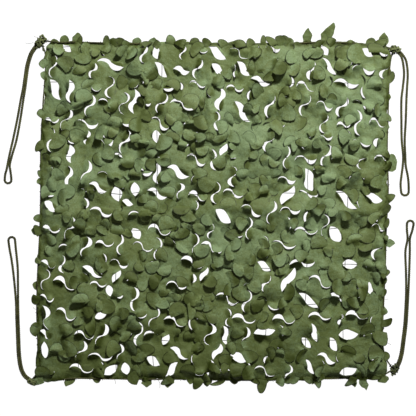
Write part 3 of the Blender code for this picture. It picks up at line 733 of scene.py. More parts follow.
class Cut:
    """One S-shaped cut: where it lies, and how wide it stands open."""

    def __init__(self, middle, length, width, angle, swing):
        self.middle = middle
        self.half = length / 2
        self.width = width
        self.swing = swing
        self.angle = angle
        self.along = Vector((math.cos(angle), math.sin(angle)))
        self.across = Vector((-self.along.y, self.along.x))
        self.roundness = CUT_ROUNDNESS * min(1.0, ROUND_BELOW / max(width, ROUND_BELOW))
        steps = np.arange(-SAMPLE_STEPS, SAMPLE_STEPS + 1)
        shares = np.repeat(steps / SAMPLE_STEPS, 2)
        self.samples = self.places(shares, np.tile((-0.5, 0.5), len(steps)) * width * (1 - shares ** 2))

    def travel(self, shares):
        """How far along the straight line between its ends the cut has come, from -1 to 1."""
        return shares - self.roundness * np.sin(2 * math.pi * shares) / (2 * math.pi)

    def places(self, shares, offsets=0.0):
        """Points at shares from -1 to 1 along the cut, and offsets from it, one in each row."""
        swings = offsets - self.swing * np.sin(math.pi * shares)
        return (np.array(self.middle) + np.outer(self.travel(shares) * self.half, self.along)
                + np.outer(swings, self.across))

    def local(self, places):
        """The shares along the cut, and the offsets from it, of points."""
        away = places - np.array(self.middle)
        travels = away @ np.array(self.along) / self.half
        steps = np.linspace(-1, 1, LOOKUP_STEPS)
        shares = np.where(np.abs(travels) < 1, np.interp(travels, self.travel(steps), steps), travels)
        centre = -self.swing * np.sin(math.pi * np.clip(shares, -1, 1))
        return shares, away @ np.array(self.across) - centre

    def shrunk(self, share):
        return Cut(self.middle, 2 * self.half * share, self.width, self.angle, self.swing * share)


def near(first, second, distance):
    """Whether the samples of two cuts come closer than a distance."""
    if (first.middle - second.middle).length > first.half + second.half + distance + 2 * CUT_SWING:
        return False
    gaps = first.samples[:, None, :] - second.samples[None, :, :]
    return bool((np.hypot(gaps[..., 0], gaps[..., 1]) < distance).any())


def inside(places, outline):
    """Which points lie inside a closed outline."""
    odd = np.zeros(len(places), dtype=bool)
    x, y = places.T
    for (ax, ay), (bx, by) in zip(outline, np.roll(outline, -1, axis=0)):
        if ay != by:
            odd ^= ((ay > y) != (by > y)) & (x < ax + (y - ay) * (bx - ax) / (by - ay))
    return odd


def edge_distances(places, outline):
    """The distance from each point to a closed outline."""
    start = outline[None, :, :]
    run = np.roll(outline, -1, axis=0)[None, :, :] - start
    away = places[:, None, :] - start
    share = np.clip((away * run).sum(2) / (run * run).sum(2), 0, 1)
    return np.linalg.norm(away - run * share[..., None], axis=2).min(1)


def fits(cut, others, outline, bridge):
    """Whether enough cloth is left between a cut, the others and the edge."""
    if any(near(cut, other, bridge) for other in others):
        return False
    return bool(inside(cut.samples, outline).all() and edge_distances(cut.samples, outline).min() > bridge)


def fitted(cut, shrinks, others, outline, bridge):
    """The cut, as little shortened as it fits between the others, or None."""
    versions = (cut.shrunk(share) for share in shrinks)
    return next((version for version in versions if fits(version, others, outline, bridge)), None)


def drift(place):
    """How far the slack cloth is pulled aside at a place."""
    pulled = Vector((0.0, 0.0))
    for across, up, x_wave, y_wave, phase in DRIFTS:
        travel = place.x / (x_wave * MM) + place.y / (y_wave * MM) + phase
        pulled += Vector((across, up)) * MM * math.sin(2 * math.pi * travel)
    return pulled


def skip_draws(rng):
    """Passes over the random numbers that the layout makes no use of."""
    for _ in range(SKIPPED_DRAWS):
        rng.random()


def row_cuts():
    """The wide gaps, and the cuts in their rows, before any gives way to another."""
    rng = random.Random(CUT_SEED)
    wide = []
    for x, y, length, width, angle, swing in WIDE_GAPS:
        wide.append(Cut(Vector((x, y)) * MM, length * MM, width * MM, math.radians(angle), swing * MM))
        skip_draws(rng)
    regular = []
    for row in range(CUT_ROWS):
        for column in range(CUT_COLUMNS):
            middle = net_point((column + 0.5) / CUT_COLUMNS, (row + 0.5) / CUT_ROWS)
            middle += drawn_pair(rng) * CUT_WANDER + drift(middle)
            angle = rng.uniform(-1, 1) * CUT_TURN - (math.pi / 2 if (row + column) % 2 else 0)
            width = WIDEST_CUT * rng.random() ** WIDTH_FALL
            length = CUT_LENGTH * rng.uniform(*CUT_LENGTHS)
            regular.append(Cut(middle, length, width, angle, CUT_SWING * rng.uniform(*CUT_SWINGS)))
            skip_draws(rng)
    regular.sort(key=lambda cut: -cut.width)
    return wide + regular


def all_cuts(outline, overlap):
    """Every cut: first the open gaps, then the closed cuts between them."""
    cuts = []
    left_over = []
    for cut in row_cuts():
        gap = None
        if len(cuts) < GAP_COUNT and cut.width >= LEAST_GAP:
            gap = fitted(cut, OPEN_SHRINKS, cuts, outline, OPEN_BRIDGE)
        if gap:
            cuts.append(gap)
        else:
            left_over.append(cut)
    rng = random.Random(CUT_SEED)
    for cut in left_over:
        cut.width = rng.uniform(*CLOSED_WIDTHS) * overlap
        closed = fitted(cut, CLOSED_SHRINKS, cuts, outline, CLOSED_BRIDGE)
        if closed:
            cuts.append(closed)
    return cuts


# ---------------- the flat sheet

# Distances between the flat sheet's points, as shares of the grain.
CUT_STEP = 0.8
BESIDE_CUT = 0.75
HEM_LINE_STEP = 0.85
ROW_STEP = 0.9
JITTER = 0.15
LINE_ROOM = 0.52  # least, between a point beside a cut or the hem and any other
FIELD_ROOM = 0.72  # the same, for the points between
LEAST_CUT_STEPS = 5
S_LENGTH = 2.3  # of a cut, over half the straight line between its ends
HEM_LINES = (-1, 2.5, 6, 10)  # how far inside the rope a row of points lies, in millimetres
FIELD = 1.14  # width and height of the square that the other points fill, in metres
INSIDE_ONLY = 1  # the triangulation's way to leave out what lies outside the border
WELD = 1e-7


class Spread:
    """Points that keep a distance from each other."""

    def __init__(self, spacing):
        self.spacing = spacing
        self.cells = {}

    def cell(self, x, y):
        return math.floor(x / self.spacing), math.floor(y / self.spacing)

    def free(self, x, y, distance):
        """Whether no point lies nearer than a distance, which is at most the spacing."""
        column, row = self.cell(x, y)
        around = [(column + across, row + up) for across in (-1, 0, 1) for up in (-1, 0, 1)]
        others = [other for cell in around for other in self.cells.get(cell, ())]
        return all((x - other_x) ** 2 + (y - other_y) ** 2 >= distance * distance
                   for other_x, other_y in others)

    def put(self, x, y):
        self.cells.setdefault(self.cell(x, y), []).append((x, y))


def guide_lines(cuts, grain):
    """Rows of points beside the cuts and along the hem."""
    lines = []
    for cut in cuts:
        shares = cut_shares(cut, grain)
        beside = (shares[1:] + shares[:-1]) / 2
        lines += [cut.places(beside, side * BESIDE_CUT * grain) for side in (-1, 1)]
    for inward in HEM_LINES:
        for side in OUTWARD:
            start, end = sorted(metres(CLOTH_SPANS[side]))
            count = int((end - start) / (HEM_LINE_STEP * grain))
            line = [rope_point(side, start + (end - start) * step / count) for step in range(1, count)]
            lines.append(np.array([point - OUTWARD[side] * inward * MM for point in line]))
    return lines


def cut_shares(cut, grain):
    """The shares along a cut at which the sheet has points."""
    return np.linspace(-1, 1, max(LEAST_CUT_STEPS, round(S_LENGTH * cut.half / (CUT_STEP * grain))) + 1)


def field_points(grain):
    """Slightly uneven rows of points all over the sheet."""
    rng = random.Random(CUT_SEED)
    rows = int(FIELD / (ROW_STEP * grain))
    columns = int(FIELD / grain)
    return [((column + 0.5 * (row % 2) - columns / 2 + rng.uniform(-JITTER, JITTER)) * grain,
             (row - rows / 2 + rng.uniform(-JITTER, JITTER)) * ROW_STEP * grain)
            for row in range(rows) for column in range(columns)]


def sheet_points(outline, cuts, grain):
    """Points and edges for the flat sheet, and the number of the cut that each point lies in, or -1."""
    spread = Spread(grain)
    points = []
    edges = []
    owners = []

    def run(line, owner):
        edges.extend((len(points) + step, len(points) + step + 1) for step in range(len(line) - 1))
        owners.extend([-1, *[owner] * (len(line) - 2), -1])
        for x, y in line:
            points.append((x, y))
            spread.put(x, y)

    run(outline[::-1], -1)
    edges.append((len(outline) - 1, 0))
    for number, cut in enumerate(cuts):
        run(cut.places(cut_shares(cut, grain)), number)
    lines = np.vstack(guide_lines(cuts, grain))
    for places, room in ((lines, LINE_ROOM * grain), (np.array(field_points(grain)), FIELD_ROOM * grain)):
        for x, y in places[inside(places, outline)]:
            if spread.free(x, y, room):
                points.append((x, y))
                spread.put(x, y)
                owners.append(-1)
    return points, edges, owners


def flat_sheet(outline, cuts, grain):
    """The flat sheet, slit along its cuts: places, triangles, and the cut and side that a point is on."""
    points, edges, owners = sheet_points(outline, cuts, grain)
    border = list(range(len(outline)))
    vectors = [Vector(point) for point in points]
    made, _, faces, origins, _, sources = delaunay_2d_cdt(vectors, edges, [border], INSIDE_ONLY, WELD)
    places = np.array([tuple(place) for place in made])
    triangles = np.array([face for face, source in zip(faces, sources) if source])
    owner = np.array([owners[origin[0]] if origin else -1 for origin in origins])

    lips = np.flatnonzero(owner >= 0)
    twins = np.full(len(places), -1)
    twins[lips] = len(places) + np.arange(len(lips))
    middles = places[triangles].mean(axis=1)
    for corner in range(3):
        at = triangles[:, corner].copy()
        for number in np.unique(owner[at][owner[at] >= 0]):
            mine = np.flatnonzero(owner[at] == number)
            _, offsets = cuts[number].local(middles[mine])
            upper = mine[offsets > 0]
            triangles[upper, corner] = twins[at[upper]]
    side = np.zeros(len(places) + len(lips))
    side[lips] = -1
    side[len(places):] = 1
    places = np.vstack([places, places[lips]])
    owner = np.concatenate([owner, owner[lips]])
    return places, triangles, owner, side


# ---------------- the sheet as it lies

# Leaf tones are partly the cloth's own uneven colour and partly painted light and shade, standing for leaves
# tilted towards or away from the light.
PALE_TONES = (-0.1, 0.6)
LEAF_DARKS = (0.4, (-1, -0.4))  # the share of dark leaves, and their tones
FLAP_DARKS = (0.45, (-0.9, -0.25))

# How a leaf stands: the ranges of its lift and of its push, as shares of the leaf rise and of the overlap.
LEAF_KINDS = {
    "covers": ((0.15, 0.6), (0.4, 1.3)),
    "stands": ((0.3, 1), (-0.4, 0.1)),
    "hides": ((-0.15, -0.45), (-0.2, 0.3)),
}
COVERING = 0.42  # the share of the leaves that cover the next one
HIDING = 0.78  # past this share they hide under it
LEAF_TWIST = 0.45
LEAF_DROOPS = (-0.1, 0.45)
LEAF_SLIDE = 0.6
LEAF_ROOT = 11 * MM  # from a cut's chord to the line that a leaf bends along
SHOULDER = 0.42  # of half a leaf's width: how much of it slopes down to each foot
STEEPEST = 0.85  # of the run from its root to its tip: the most that a leaf rises
RISE_CURVE = 1.15  # the power that a leaf's rise follows from its root to its tip
DROOP_CURVE = 6
FORESHORTENING = 0.8
TONE_RISE = 2.2  # the greater, the nearer to its root a leaf has its own tone
SINK_REACH = 9 * MM
SINK = 0.14  # of its lift: how far the cloth before a leaf sinks
COVERED_SINK = 0.3  # the same, where the leaf covers it
HIDDEN_PUSH = 0.6  # of the overlap: how far the cloth before a hidden leaf comes over it
OPEN_REACH = 19 * MM  # from an open cut, where its pull on the cloth has died down
OPEN_CURVE = 1.4
CUT_REACH = 2.2 * OPEN_REACH  # past a cut's ends, where it no longer moves the cloth
UNEVEN_BELOW = 12 * MM  # a cut that stands open less than this opens more at one end
UNEVENNESS = 0.9
LIT_GAP = 1.5 * MM  # how much less shadow there is in an open gap, as a distance
LIT_SHOULDER = 3 * MM  # the same, where a leaf slopes down to its feet
FAR = 20 * MM

# Noise on the cloth: its level, waves to the metre, and for fractal noise the roughness, spread and octaves.
WANDER = (0.3, 28.0)
RAGGED = (0.6, 62.0)
CREASED = (0.8, 34.0, 0.8, 2.2, 3)
PLEATED = (0.4, 85.0, 0.7, 2.1, 2)
BED_WAVES = ((0.1, 9.0, 8.0), (0.1, 19.0, 3.4))  # with the height in millimetres
NOISE_SEED = 7  # of Blender's vector noise, which would else start anew at each run
WANDER_REACH = 1.6 * MM
RAGGED_REACH = 3.4 * MM

HEM_START = 2 * MM  # inside the rope, where the cloth comes loose of its stitches
HEM_SLACK = 20 * MM  # from there to where it moves as it likes
HEM_RUN = 26 * MM  # from the rope to where the cloth reaches its own height
HEM_DRAWS = {"top": 1, "right": 5, "bottom": 2.5, "left": 4}  # how far in the stitches draw the hem
DRAWN_TO = 10 * MM  # inside the rope, as far as the stitches draw the cloth
DRAWN_RUN = 14 * MM  # from there outward, to where they draw it in fully
ROPE_RIDGE = 6.3 * MM  # height of the cloth where it lies over the rope
RIDGE_WIDTH = 6.5 * MM
HEM_CREASE = 1.2 * MM
BUNCH_WIDTH = 9 * MM
BUNCH_HEIGHTS = (2, 7)  # and how much the pleats add, in millimetres
# Painted shade in the bunches: its tone, and how much the pleats change it.
BUNCH_SHADE_TONES = (0.9, 1.6)
TIP_START = 5 * MM  # outside the rope, where a leaf tip comes down to the floor
TIP_RUN = 8 * MM
TIP_HEIGHTS = (2.2, 5)  # and how much the creases add, in millimetres
TIP_SLOPE = 0.12
LONGEST_TIP = 60 * MM
# Painted shade along the rope: how far inside the rope it is deepest, and how wide it is.
HEM_SHADE_MIDDLE = 1 * MM
HEM_SHADE_WIDTH = 6 * MM
HEM_SHADE_TONES = (0.7, 2.2, 1.3)  # at no crease, how much the creases add, and the most


def drawn_tone(rng, darks):
    dark_share, dark_tones = darks
    return rng.uniform(*(dark_tones if rng.random() < dark_share else PALE_TONES))


def bed_heights(x, y, tufts):
    """Height of the loose cloth before its leaves stand up."""
    height = np.full(len(x), CLOTH_REST)
    for rise, wavelength, way, start in SWELLS:
        travel = x * math.cos(math.radians(way)) + y * math.sin(math.radians(way))
        height += rise * MM * np.sin(2 * math.pi * travel / (wavelength * MM) + math.radians(start))
    for fold in FOLDS:
        x0, y0, x1, y1, rise, half_width = metres(fold)
        run = np.array((x1 - x0, y1 - y0))
        share = ((x - x0) * run[0] + (y - y0) * run[1]) / (run @ run)
        off = np.hypot(x - x0 - run[0] * share, y - y0 - run[1] * share)
        fade = np.clip(0.5 + FOLD_FADE * np.minimum(share, 1 - share), 0, 1)
        height += rise * fade * bell(off, half_width)
    pull = np.zeros(len(x))
    for tuft in tufts:
        pull = np.maximum(pull, np.exp(-((x - tuft.x) ** 2 + (y - tuft.y) ** 2) / TUFT_REACH ** 2))
    return height + (TUFT_HEIGHT - height) * pull


def painted_light_and_shade(x, y):
    """Painted light and shade: the tone that the cloth is given at places, paler where more light falls and
    darker where shade falls.
    """
    tone = np.zeros(np.shape(x))
    for middle_x, middle_y, half_width, half_height, shade in LIGHT_AND_SHADE_PATCHES:
        away = ((x / MM - middle_x) / half_width) ** 2 + ((y / MM - middle_y) / half_height) ** 2
        tone += shade * np.exp(-away)
    return tone


class Leaf:
    """How the tongue on one side of a cut stands: its lift, twist and droop, and its shift in the plane."""

    def __init__(self, rng, opened, cloth):
        mood = rng.random()
        kind = "covers" if mood < COVERING and not opened else "stands" if mood < HIDING else "hides"
        lifts, pushes = LEAF_KINDS[kind]
        self.opened = opened
        self.covers = kind == "covers"
        self.hides = kind == "hides" and not opened
        self.lift = rng.uniform(*lifts) * cloth.leaf_rise
        self.push = rng.uniform(*pushes) * cloth.overlap
        self.twist = rng.uniform(-LEAF_TWIST, LEAF_TWIST)
        self.droop = rng.uniform(*LEAF_DROOPS)
        self.slide = rng.uniform(-LEAF_SLIDE, LEAF_SLIDE) * cloth.overlap
        self.tone = drawn_tone(rng, LEAF_DARKS)


class Around:
    """The points about a cut: where along it, on which side and how far away they are, and their moves."""

    def __init__(self, number, cut, places, owner, side):
        x, y = places.T
        reach = cut.half + CUT_REACH
        close = (np.abs(x - cut.middle.x) < reach) & (np.abs(y - cut.middle.y) < reach)
        self.points = np.flatnonzero(close)
        self.share, offset = cut.local(places[self.points])
        lip = owner[self.points] == number
        self.facing = np.where(lip, side[self.points], np.sign(offset))
        self.away = np.where(lip, 0.0, np.abs(offset))
        self.swings = np.sin(math.pi * np.clip(self.share, -1, 1))
        self.from_chord = self.facing * self.away - cut.swing * self.swings
        self.depth = LEAF_ROOT + abs(cut.swing)
        self.across = np.zeros(len(self.points))
        self.along = np.zeros(len(self.points))


class Moves:
    """How the points of the flat sheet are moved as its cuts open, one after the other."""

    def __init__(self, places):
        self.aside = np.zeros_like(places)
        self.rise = np.zeros(len(places))
        self.tone = np.zeros(len(places))
        self.shadow = np.full(len(places), FAR)  # past the edge of the leaf that covers it
        self.rim = np.full(len(places), FAR)  # from the rim of its own leaf

    def open_cut(self, cut, around, lean):
        """Draws the two sides of a cut apart."""
        opened = np.clip(1 - around.share ** 2, 0, 1) * (1 + lean * around.swings)
        opened *= 0.5 * cut.width * np.exp(-((around.away / OPEN_REACH) ** OPEN_CURVE))
        around.across += around.facing * opened

    def raise_leaf(self, leaf, way, around, overlap):
        """Stands up the leaf on one side of a cut, and lets the cloth before it sink."""
        beside = 2 * around.share - way
        window = ramp((1 - np.abs(beside)) / SHOULDER)
        depth = around.depth
        out = np.clip((LEAF_ROOT - way * around.from_chord) / depth, 0, 1) * window * (around.facing == way)
        lift = min(leaf.lift, STEEPEST * depth)
        raised = out ** RISE_CURVE * (1 + leaf.twist * beside) - leaf.droop * out ** DROOP_CURVE
        self.rise[around.points] += lift * raised
        foreshortened = 0.0 if leaf.opened else FORESHORTENING * lift * lift / (2 * depth)
        around.across -= way * (leaf.push * out ** 2 - foreshortened * out)
        around.along += leaf.slide * out ** 2
        self.tone[around.points] += leaf.tone * ramp(TONE_RISE * out)
        bay = (around.facing == -way) * window * np.exp(-around.away / SINK_REACH)
        self.rise[around.points] -= (COVERED_SINK if leaf.covers else SINK) * lift * bay
        if leaf.hides:
            around.across += way * HIDDEN_PUSH * overlap * bay
        covered = leaf.push * window ** 2 if leaf.covers else 0.0
        past = np.where(bay > 0, around.away - covered, FAR) + (LIT_GAP if leaf.opened else 0.0)
        shadow = np.minimum(self.shadow[around.points], past + (1 - window) * LIT_SHOULDER)
        self.shadow[around.points] = shadow
        self.rim[around.points] = np.minimum(self.rim[around.points], np.where(out > 0, around.away, FAR))


def opened_sheet(places, owner, side, cuts, cloth):
    """How the points of the flat sheet are moved once its cuts are open."""
    moves = Moves(places)
    rng = random.Random(CUT_SEED)
    for number, cut in enumerate(cuts):
        around = Around(number, cut, places, owner, side)
        lean = rng.uniform(-UNEVENNESS, UNEVENNESS) if cut.width < UNEVEN_BELOW else 0.0
        moves.open_cut(cut, around, lean)
        for way in (-1, 1):
            moves.raise_leaf(Leaf(rng, cut.width > LEAST_GAP, cloth), way, around, cloth.overlap)
        moves.aside[around.points] += np.outer(around.across, cut.across) + np.outer(around.along, cut.along)
    return moves


def noise_over(places, kind, level, scale, *more):
    """One of Blender's kinds of noise at each place."""
    return np.array([kind(Vector((x, y, level)) * scale, *more) for x, y in places])


def edge_heights(inward, height, over, bunched, creases, pleats):
    """The cloth's heights, brought down to the rope and the leaf tips, and how far each point is on a tip."""
    climb = ramp(inward / HEM_RUN)
    hem = ROPE_RIDGE * bell(np.minimum(inward, 0), RIDGE_WIDTH) * (1 - over) + CLOTH_LOWEST * over
    least, pleated = BUNCH_HEIGHTS
    hem += HEM_CREASE * creases * (1 - over) + bunched * (least + pleated * pleats) * MM
    tip = ramp((-inward - TIP_START) / TIP_RUN)
    least, creased = TIP_HEIGHTS
    tip_height = (least + creased * np.abs(creases)) * MM + TIP_SLOPE * np.clip(-inward, 0, LONGEST_TIP)
    edge = (hem * (1 - tip) + tip_height * tip) * (1 - climb) + height * climb
    return np.where(inward > HEM_RUN, height, edge), tip


def edge_tones(inward, bunched, creases, pleats):
    """Painted shade: how much darker the cloth is made on the rope and in its bunches."""
    base, creased, most = HEM_SHADE_TONES
    hem_shade = np.clip(base + creased * creases, 0, most)
    hem_shade = hem_shade * bell(inward - HEM_SHADE_MIDDLE, HEM_SHADE_WIDTH) * (inward > -TIP_START)
    base, pleated = BUNCH_SHADE_TONES
    return hem_shade, bunched * (base - pleated * pleats)


def hem_draws(x, y):
    """How far the stitches draw the hem in at places, as lengths outward along x and y."""
    upright = np.abs(x) / NET_WIDTH > np.abs(y) / NET_HEIGHT
    across = np.where(x > 0, HEM_DRAWS["right"], -HEM_DRAWS["left"]) * MM
    down = np.where(y > 0, HEM_DRAWS["top"], -HEM_DRAWS["bottom"]) * MM
    return np.column_stack([np.where(upright, across, 0), np.where(upright, 0, down)])


def settled(places, owner, side, cuts, tufts, cloth):
    """Where the points of the flat sheet lie once its cuts are open, and the tone of each.

    Also how far each lies past the edge of the leaf that covers it, and from the rim of its own leaf.
    """
    noise.seed_set(NOISE_SEED)
    moves = opened_sheet(places, owner, side, cuts, cloth)
    x, y = places.T
    inward = inward_distances(x, y)
    free = ramp((inward - HEM_START) / HEM_SLACK)
    moves.aside *= free[:, None]
    moves.aside += WANDER_REACH * noise_over(places, noise.noise_vector, *WANDER)[:, :2] * free[:, None]
    moves.aside += RAGGED_REACH * noise_over(places, noise.noise_vector, *RAGGED)[:, :2] * (1 - free)[:, None]
    creases = noise_over(places, noise.fractal, *CREASED)
    pleats = noise_over(places, noise.fractal, *PLEATED)
    height = bed_heights(x, y, tufts) + moves.rise + cloth.crumple * creases
    for level, scale, wave in BED_WAVES:
        height += wave * MM * noise_over(places, noise.noise, level, scale)
    over = near_stretch(ROPE_OVER, x, y) * (inward < HEM_RUN)
    bunched = near_stretch(BUNCHES, x, y) * bell(inward - HEM_START, BUNCH_WIDTH)
    height, tip = edge_heights(inward, height, over, bunched, creases, pleats)
    height = np.clip(height, CLOTH_LOWEST, CLOTH_CEILING)
    hem_shade, bunch_shade = edge_tones(inward, bunched, creases, pleats)
    tone = moves.tone - hem_shade + (painted_light_and_shade(x, y) - bunch_shade)
    drawn = ramp((DRAWN_TO - inward) / DRAWN_RUN) * (1 - tip)
    moves.aside -= drawn[:, None] * hem_draws(x, y)
    return np.column_stack([places + moves.aside, height]), tone, moves.shadow, moves.rim


# ---------------- leaves that lie over the cloth

FLAP_ROWS = (0, 0.19, 0.38, 0.56, 0.72, 0.86, 0.95, 0.99)
FLAP_COLUMNS = (-1, -0.6, 0, 0.6, 1)
FLAP_LEAN = 0.4
FLAP_ARCHES = (0, 1.6)  # in millimetres, as the next two are
FLAP_CURLS = (-0.8, 1.2)
FLAP_TIP_RISES = (1.5, 7)
TIP_REST = 1.5 * MM  # least height of what a leaf's tip lies on
FLAP_CLEARANCE = 1.1 * MM  # between the cloth's lower face and that of a leaf that lies over it
FLAP_SEED = 31
FLAP_WAIST = 0.86  # of its half width, at its root
GROUND_REACH = 5.5 * MM  # a leaf's point lies over whatever cloth is this near
ROOT_SINK = 3.2 * MM  # how far a leaf's root goes down into the cloth
ROOT_RUN = 0.22  # of its length, for that
ROOT_REACH = 14 * MM  # a leaf takes its tone at its root from the cloth this near
OWN_TONE = (0.2, 0.4)  # of its length: where its own tone starts, and how soon it is reached
# From here on along a leaf, its rim gets a painted shadow outline; the outline gap shifts that outline off
# the rim.
SHARP_FROM = 0.3  # of its length: nearer its root a leaf has no dark outline
OUTLINE_GAP = 0.3 * MM
MIDDLE = 0.6  # of its length, from its root to the middle of its free part

# The blunter a leaf, the greater the number.
ROUNDED = 2.8
BLUNTNESSES = (1.2, 1.6, ROUNDED, ROUNDED, 9.0)

# Leaves on the rope: the distance between two of them, the longest, and what is added to their tones, partly
# painted light and shade.
EDGE_LEAVES = {
    "top": (34, 36, -0.45),
    "right": (72, 36, -0.25),
    "bottom": (54, 46, 0.25),
    "left": (95, 34, -0.1),
}
EDGE_LEAF_ROOTS = (2, 13)  # inside the rope, in millimetres
EDGE_LEAF_SWAY = 1.25
EDGE_LEAF_LENGTHS = (0.4, 1)  # of the longest
EDGE_LEAF_HALF_WIDTHS = (8, 17)  # in millimetres
EDGE_LEAF_STEPS = (0.4, 1.6)  # of the distance between two leaves

CUT_LEAF_SHARE = 0.7  # of the closed cuts' sides, those with a folded leaf
CUT_LEAF_ROOTS = (0, 10)  # behind the line that leaves bend along, in millimetres
CUT_LEAF_SWAY = 0.8
CUT_LEAF_REACHES = (5, 22)  # past the cut, in millimetres
CUT_LEAF_HALF_WIDTHS = (13, 27)  # in millimetres
CUT_LEAF_ROOM = 0.45  # of its half width: least, between its head and an open cut

STREWN_TRIES = 1500
STREWN_SPACING = 33 * MM  # least, between the middles of strewn leaves
STREWN_FIELD = 0.47  # of the net's width and height, to each side of its middle
STREWN_LENGTHS = (28, 46)  # in millimetres
STREWN_HALF_WIDTHS = (0.5, 0.75)  # of the length
STREWN_ROOM = 0.85  # of its half width: least, between its middle and an open cut


class Flap:
    """A leaf that lies over the cloth, or out over the rope: where it is rooted and how it is bent."""

    def __init__(self, rng, root, way, length, half_width, bluntness=ROUNDED):
        self.root = np.array(root)
        self.along = direction(way)
        self.length = length
        self.half_width = half_width
        self.bluntness = bluntness
        self.lean = rng.uniform(-FLAP_LEAN, FLAP_LEAN)
        self.arch = rng.uniform(*FLAP_ARCHES) * MM
        self.curl = rng.uniform(*FLAP_CURLS) * MM
        self.tip_rise = rng.uniform(*FLAP_TIP_RISES) * MM
        self.tone = drawn_tone(rng, FLAP_DARKS)

    def head(self):
        """The middle of its free part."""
        return self.root + MIDDLE * self.length * self.along

    def laid(self, points):
        """Its places on the plane and as it lies on the cloth's points, its shares and its rim distances."""
        share = np.repeat(FLAP_ROWS, len(FLAP_COLUMNS)).astype(float)
        across = np.tile(FLAP_COLUMNS, len(FLAP_ROWS)).astype(float)
        width = self.half_width * np.sqrt(1 - share ** self.bluntness)
        width *= FLAP_WAIST + (1 - FLAP_WAIST) * np.sin(math.pi * np.clip(share, 0, 0.5))
        aside = np.array((-self.along[1], self.along[0]))
        offsets = across * width + self.lean * self.length * share ** 2
        places = self.root + np.outer(share * self.length, self.along) + np.outer(offsets, aside)
        near_points = points[(np.abs(points[:, :2] - places.mean(axis=0)) < 2 * self.length).all(axis=1)]
        gaps = np.linalg.norm(places[:, None, :] - near_points[None, :, :2], axis=2)
        ground = np.where(gaps < GROUND_REACH, near_points[None, :, 2], 0.0).max(axis=1)
        root_height = ground[:len(FLAP_COLUMNS)].max()
        tip_height = max(ground[-len(FLAP_COLUMNS):].max(), TIP_REST) + self.tip_rise
        height = root_height + (tip_height - root_height) * share + self.arch * np.sin(math.pi * share)
        height = np.maximum(height + self.curl * across ** 2, ground + FLAP_CLEARANCE)
        height -= ROOT_SINK * (1 - ramp(share / ROOT_RUN))
        rim = np.minimum((1 - np.abs(across)) * width, (1 - share) * self.length)
        height = np.clip(height, CLOTH_LOWEST, CLOTH_CEILING)
        return places, np.column_stack([places, height]), share, rim


def edge_flaps(rng):
    """Leaves that stand out over the rope on every side, but for where the rope lies bare."""
    flaps = []
    for side, outward in OUTWARD.items():
        spacing, longest, toned = EDGE_LEAVES[side]
        place, end = sorted(metres(CLOTH_SPANS[side]))
        while place < end:
            root = rope_point(side, place) - outward * rng.uniform(*EDGE_LEAF_ROOTS) * MM
            way = math.atan2(outward.y, outward.x) + rng.uniform(-EDGE_LEAF_SWAY, EDGE_LEAF_SWAY)
            length = rng.uniform(*EDGE_LEAF_LENGTHS) * longest * MM
            half_width = rng.uniform(*EDGE_LEAF_HALF_WIDTHS) * MM
            flap = Flap(rng, root, way, length, half_width, rng.choice(BLUNTNESSES))
            flap.tone += toned
            if stretch_share(ROPE_OVER, side, place) < 0.5:
                flaps.append(flap)
            place += rng.uniform(*EDGE_LEAF_STEPS) * spacing * MM
    return flaps


def room_at(head, open_places):
    """The distance from a leaf's head to the nearest open cut."""
    return np.linalg.norm(open_places - head, axis=1).min()


def cut_flaps(rng, cuts, open_places):
    """Leaves that lie over the far side of closed cuts, clear of the open ones."""
    flaps = []
    for cut in cuts:
        for way in (-1, 1):
            if cut.width < LEAST_GAP and rng.random() < CUT_LEAF_SHARE:
                depth = LEAF_ROOT + rng.uniform(*CUT_LEAF_ROOTS) * MM
                angle = cut.angle - way * math.pi / 2 + rng.uniform(-CUT_LEAF_SWAY, CUT_LEAF_SWAY)
                root = cut.places(np.array([0.5 * way]))[0] - direction(angle) * depth
                length = depth + rng.uniform(*CUT_LEAF_REACHES) * MM
                half_width = rng.uniform(*CUT_LEAF_HALF_WIDTHS) * MM
                head = root + direction(angle) * (length - 0.5 * half_width)
                if room_at(head, open_places) > CUT_LEAF_ROOM * half_width:
                    flaps.append(Flap(rng, root, angle, length, half_width))
    return flaps


def strewn_flaps(rng, flaps, open_places):
    """Leaves folded over where the cloth would else lie bare, clear of open cuts and of the given flaps."""
    heads = [flap.head() for flap in flaps]
    strewn = []
    for _ in range(STREWN_TRIES):
        across = rng.uniform(-STREWN_FIELD, STREWN_FIELD) * NET_WIDTH
        up = rng.uniform(-STREWN_FIELD, STREWN_FIELD) * NET_HEIGHT
        length = rng.uniform(*STREWN_LENGTHS) * MM
        way = rng.uniform(-math.pi, math.pi)
        flap = Flap(rng, (across, up), way, length, rng.uniform(*STREWN_HALF_WIDTHS) * length)
        head = flap.head()
        clear = room_at(head, open_places) > STREWN_ROOM * flap.half_width
        if clear and room_at(head, np.array(heads)) > STREWN_SPACING:
            strewn.append(flap)
            heads.append(head)
    return strewn


def all_flaps(cuts):
    """Every folded leaf."""
    rng = random.Random(FLAP_SEED)
    open_places = np.vstack([cut.samples for cut in cuts if cut.width >= LEAST_GAP])
    flaps = cut_flaps(rng, cuts, open_places) + edge_flaps(rng)
    return flaps + strewn_flaps(rng, flaps, open_places)


